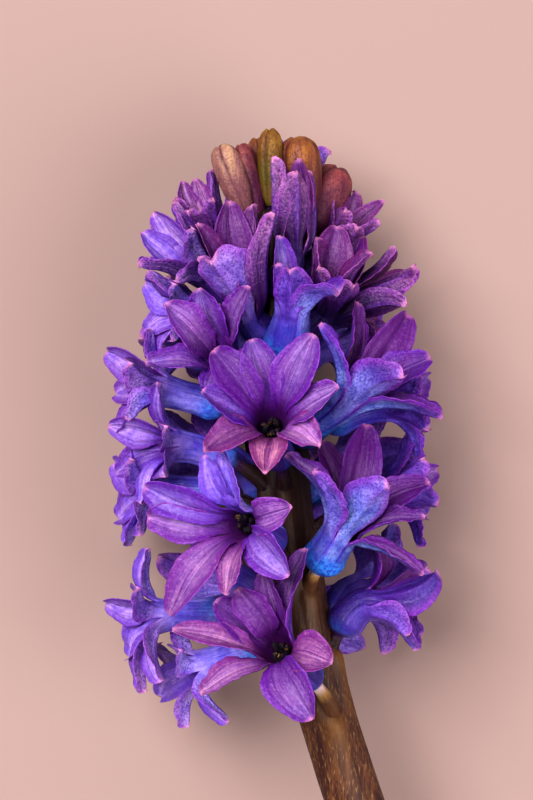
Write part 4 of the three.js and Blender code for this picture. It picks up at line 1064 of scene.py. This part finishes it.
def stamens_surface(floret, seed):
    """Six anthers, each on its thread from the tube's wall, and the pistil, all carried along paths.
    An anther's radius is an ellipse's over its length, with a furrow down the front and the back,
    and a little roughness. The anthers lean a little every way."""
    facing, up, across = mouth_axes(floret["face"])
    line = tube_line(floret)
    floor = min(FLOOR, min(TUBE, line[2][-1] - 2) - 3)
    angle = np.arange(ANTHER_COLUMNS) * 2 * np.pi / ANTHER_COLUMNS
    share = np.linspace(0.02, 0.98, ANTHER_ROWS)
    furrow = 1 - 0.3 * bump_at(np.cos(angle), 1, 0.25) - 0.3 * bump_at(np.cos(angle), -1, 0.25)
    rough = 1 + 0.12 * spread(np.arange(share.size * angle.size).reshape(share.size, angle.size) + seed)
    radius = ANTHER_WIDE * np.sqrt(1 - (2 * share - 1) ** 2)[:, None] ** 0.8 * furrow * rough
    bodies = []
    for k in range(6):
        around = k * np.pi / 3 + 0.3 * spread(seed + k)
        outward = np.cos(around) * up + np.sin(around) * across
        back = ANTHER_BACK + 0.45 * spread(seed + 3 * k + 1)
        sideways = 0.5 * np.cross(facing, outward) * spread(seed + 2 * k)
        lean = unit(facing + 0.45 * outward * spread(seed + k) + sideways)
        middle = on_line(line, back) + outward * (ANTHER_AWAY + 0.2 * spread(seed + k + 9))
        path = middle + (share - 0.5)[:, None] * lean * ANTHER_LONG
        bodies.append(("anther", *carried(path, radius, angle)))
        root = on_line(line, min(floor - 1, back + FILAMENT_DOWN)) + outward * FILAMENT_AWAY
        thread = root + np.linspace(0, 1, 6)[:, None] * (path[0] + lean * 0.3 - root)
        bodies.append(("thread", *carried(thread, np.full((6, 6), FILAMENT), angle[::2])))
    rod = on_line(line, np.linspace(floor - 0.5, PISTIL_TOP, PISTIL.size))
    bodies.append(("pistil", *carried(rod, PISTIL[:, None] * np.ones(angle.size), angle)))
    first = np.cumsum([0] + [len(points) for _, points, _, _ in bodies])
    faces = [band + start for start, body in zip(first, bodies) for band in body[2]]
    pollen = np.concatenate([np.full(len(points), POLLEN[kind]) for kind, points, _, _ in bodies])
    points, uv = [np.concatenate([body[part] for body in bodies]) for part in (1, 3)]
    return points, faces, uv, {"pollen": pollen}


def anther_material():
    """Nearly black, crumbly anthers with grains of ochre pollen, on dull violet threads."""
    material, shader, start = finish_material("anther", {"Specular IOR Level": 0.25})
    place = start.place()
    pollen = start.attribute("pollen")
    grain = place.noise(3500, 2, 0.7)
    patch = place.noise(900, 2, 0.5)
    skin = patch.mix(ink(14, 8, 18), ink(36, 22, 42))
    dust_and_glints = patch.step(0.55, 0.66) * grain.step(0.52, 0.58)
    skin = (dust_and_glints * 0.8).mix(skin, ink(158, 116, 40))
    colour = pollen.step(0.2, 0.6).mix(ink(92, 48, 110), skin)
    wire(shader, start, colour, 0.6 + 0.25 * grain, 0.00012 * grain, 0.8)
    return material


anther = anther_material()
for index, name in enumerate(OPEN):
    surface = stamens_surface(grown[name], 17 * index)
    put("anthers_" + name, *surface, "anthers", "stamens_" + name, anther)


# The closed buds at the tip of the spike: fleshy, egg-shaped, each wrapped in three outer tepals
# whose thick tips stand apart a little. The youngest are yellow-green and ochre, the others flushed
# with pink or red. Each stands with its narrow foot on the scape's top.
BUD_ROWS, BUD_COLUMNS = 36, 54
BUD_SHAPE = np.array([[0, 0.35], [0.1, 0.62], [0.35, 0.96], [0.6, 1], [0.82, 0.93], [0.94, 0.74], [1, 0.34]])
BUD_SLOTS = {"green": "buds_ochre", "ochre": "buds_ochre", "cream": "buds_pink", "red": "buds_red"}

# Name, foot, tip, radius, finish and the turn round itself
BUDS = [
    ("tip", (1, 38.6, 1.8), (0.9, 54, 1.5), 2.7, "green", 0.5),
    ("tip_left", (-0.4, 38.6, -2), (-2, 52.6, -3.4), 2.484, "ochre", 1.1),
    ("ochre", (7.2, 36, -0.5), (6.4, 52.5, 0.5), 4.608, "ochre", 0.2),
    ("cream", (-3.6, 37, 1.6), (-9.2, 50.6, 2.8), 3.2, "cream", 0.8),
    ("russet", (-1, 35.5, 0), (-5, 51, 1.2), 2.592, "red", 0.1),
    ("red", (5.2, 31, -3.2), (15.2, 46.5, -6), 5.12, "red", 0.4),
    ("under", (2.6, 38.4, -3.2), (3, 51, -6), 2.592, "ochre", 0.9),
]


def bud_surface(foot, tip, radius, turn):
    """Rings from foot to tip whose radius follows the bud's outline, rounded by a running mean. Round
    the bud, three rounded tepals meet in creases, where a power of a cosine comes down to 0, and near
    the tip each rises above the creases and ends in a blunt nub."""
    foot, tip = np.array(foot, float), np.array(tip, float)
    t = 1 - (1 - np.linspace(0, 1, BUD_ROWS)) ** 1.3
    a = np.linspace(0, 2 * np.pi, BUD_COLUMNS, endpoint=False)
    tepal_middle = np.abs(np.cos(1.5 * (a + turn))) ** 0.55
    outline = np.interp(t, *BUD_SHAPE.T)
    kernel = np.array([1, 2, 3, 2, 1]) / 9
    outline = np.concatenate([outline[:2], np.convolve(outline, kernel, "valid"), outline[-2:]])
    crease = 0.82 + 0.18 * tepal_middle + 0.02 * np.cos(9 * (a + turn)) * tepal_middle
    creased = smooth(t / 0.2)[:, None]
    wide = radius * outline[:, None] * (crease * creased + 1 - creased)
    rise = t[:, None] + 0.05 * (tepal_middle - 0.8) * smooth((t - 0.7) / 0.3)[:, None]
    way = unit(tip - foot)
    across = unit(np.cross([0, 0, 1.0], way))
    up = np.cross(way, across)
    ring = np.sin(a)[:, None] * across + np.cos(a)[:, None] * up
    long = np.linalg.norm(tip - foot)
    body = foot + (rise * long)[..., None] * way + wide[..., None] * ring
    index = np.arange(t.size * a.size).reshape(t.size, a.size)
    low = np.full(a.size, t.size * a.size)
    faces = [
        grid_faces(index, closed=True),
        np.stack([index[0], np.roll(index[0], -1), low], axis=1),
        np.stack([index[-1], low + 1, np.roll(index[-1], -1)], axis=1),
    ]
    points = np.concatenate([body.reshape(-1, 3), [foot], [foot + way * long * 0.975]])
    around = np.append(np.tile((a + turn) / (2 * np.pi), t.size), [0, 0])
    along = np.append(np.repeat(t, a.size), [0, 1])
    seam = np.append(np.tile(tepal_middle, t.size), [1, 1])
    return points, faces, np.stack([around, along], axis=-1), {"seam": seam}


def bud_material(name, light, dark, speck, low):
    """Waxy skin, streaked lengthwise between a light and a dark shade, flushed and specked, with painted
    shade in the creases, and towards the low shade at the foot."""
    fixed = {"Subsurface Weight": 0.1, "Subsurface Radius": (0.9, 0.6, 0.3), "Subsurface Scale": 0.001}
    material, shader, start = finish_material("bud_" + name, fixed | {"Specular IOR Level": 0.35})
    place = start.place()
    _, v, _ = start.uv().parts()
    seam = start.attribute("seam")
    streak = place.noise(1.0, 3, 0.6, at=(700, 120, 700)).step(0.3, 0.7)
    grain = place.noise(2600, 2, 0.6)
    speckle = place.noise(2100, 3, 0.7).step(0.5, 0.64)
    flush = place.noise(240, 2, 0.5).step(0.46, 0.62)
    skin = streak.mix(dark, light)
    skin = (flush * 0.45).mix(skin, speck)
    skin = (speckle * v.step(1.3, 0.4) * 0.8).mix(skin, speck)
    # Painted shade in the creases between the tepals
    skin = (seam.step(0.55, 0.1) * 0.85).mix(skin, ink(66, 28, 34))
    skin = (v.step(0.92, 0.35) * (0.5 + 0.5 * streak)).mix(skin, low)
    height = 0.00012 * grain + 0.00016 * streak + 0.0001 * speckle
    wire(shader, start, skin, 0.42 + 0.2 * grain, height, 0.7)
    return material


BUD_FINISH = {
    "green": bud_material("green", ink(142, 104, 34), ink(112, 70, 34), ink(84, 48, 26), ink(76, 68, 12)),
    "ochre": bud_material("ochre", ink(154, 98, 44), ink(106, 54, 42), ink(84, 36, 40), ink(84, 34, 50)),
    "cream": bud_material("cream", ink(188, 148, 112), ink(138, 88, 98), ink(88, 36, 66), ink(112, 66, 76)),
    "red": bud_material("red", ink(136, 70, 68), ink(94, 36, 58), ink(66, 20, 50), ink(76, 24, 66)),
}
for name, foot, tip, radius, finish, turn in BUDS:
    surface = bud_surface(foot, tip, radius, turn)
    put("closed_bud_" + name, *surface, BUD_SLOTS[finish], "bud_" + name, BUD_FINISH[finish])


# The stage: a plain pale sheet under the flower, soft light from above, and the camera straight
# over the flower, so that the picture shows it as the photograph does.
FLOOR_LONG = 6
FLOOR_COLOUR = (*ink(152, 128, 123), 1)
bpy.ops.mesh.primitive_plane_add(size=FLOOR_LONG)
floor = bpy.context.object
floor.name = "floor"
paper, _, _ = finish_material("paper", {"Base Color": FLOOR_COLOUR, "Roughness": 0.9})
floor.data.materials.append(paper)


def light(name, place, size, power, colour):
    """A square soft light at a place, in metres, turned to the flower."""
    lamp = bpy.data.lights.new(name, "AREA")
    lamp.size = size
    lamp.energy = power
    lamp.color = colour
    holder = bpy.data.objects.new(name, lamp)
    holder.location = place
    holder.rotation_euler = (-holder.location).to_track_quat("-Z", "Y").to_euler()
    bpy.context.scene.collection.objects.link(holder)


light("key", place=(-0.55, 0.45, 1.3), size=0.9, power=33, colour=(1.0, 0.97, 0.95))
light("fill", place=(1.0, -0.5, 1.1), size=1.4, power=25, colour=(1.0, 0.95, 0.94))
ROOM_COLOUR, ROOM_STRENGTH = (0.8, 0.72, 0.7, 1), 0.24
world = bpy.data.worlds.new("studio")
world.use_nodes = True
room = world.node_tree.nodes["Background"].inputs
room["Color"].default_value = ROOM_COLOUR
room["Strength"].default_value = ROOM_STRENGTH
bpy.context.scene.world = world
bpy.context.scene.view_settings.view_transform = "Standard"
bpy.context.scene.view_settings.look = "Medium High Contrast"

# The camera's height over the scape's axis, and what the picture's longer side shows there
EYE, IN_VIEW = 550, 160
SENSOR = 36
camera = bpy.data.objects.new("camera", bpy.data.cameras.new("camera"))
camera.data.sensor_width = SENSOR
camera.data.lens = SENSOR * EYE / IN_VIEW
camera.location = (SHIFT + np.array([0, 0, EYE])) * MM
bpy.context.scene.collection.objects.link(camera)
bpy.context.scene.camera = camera
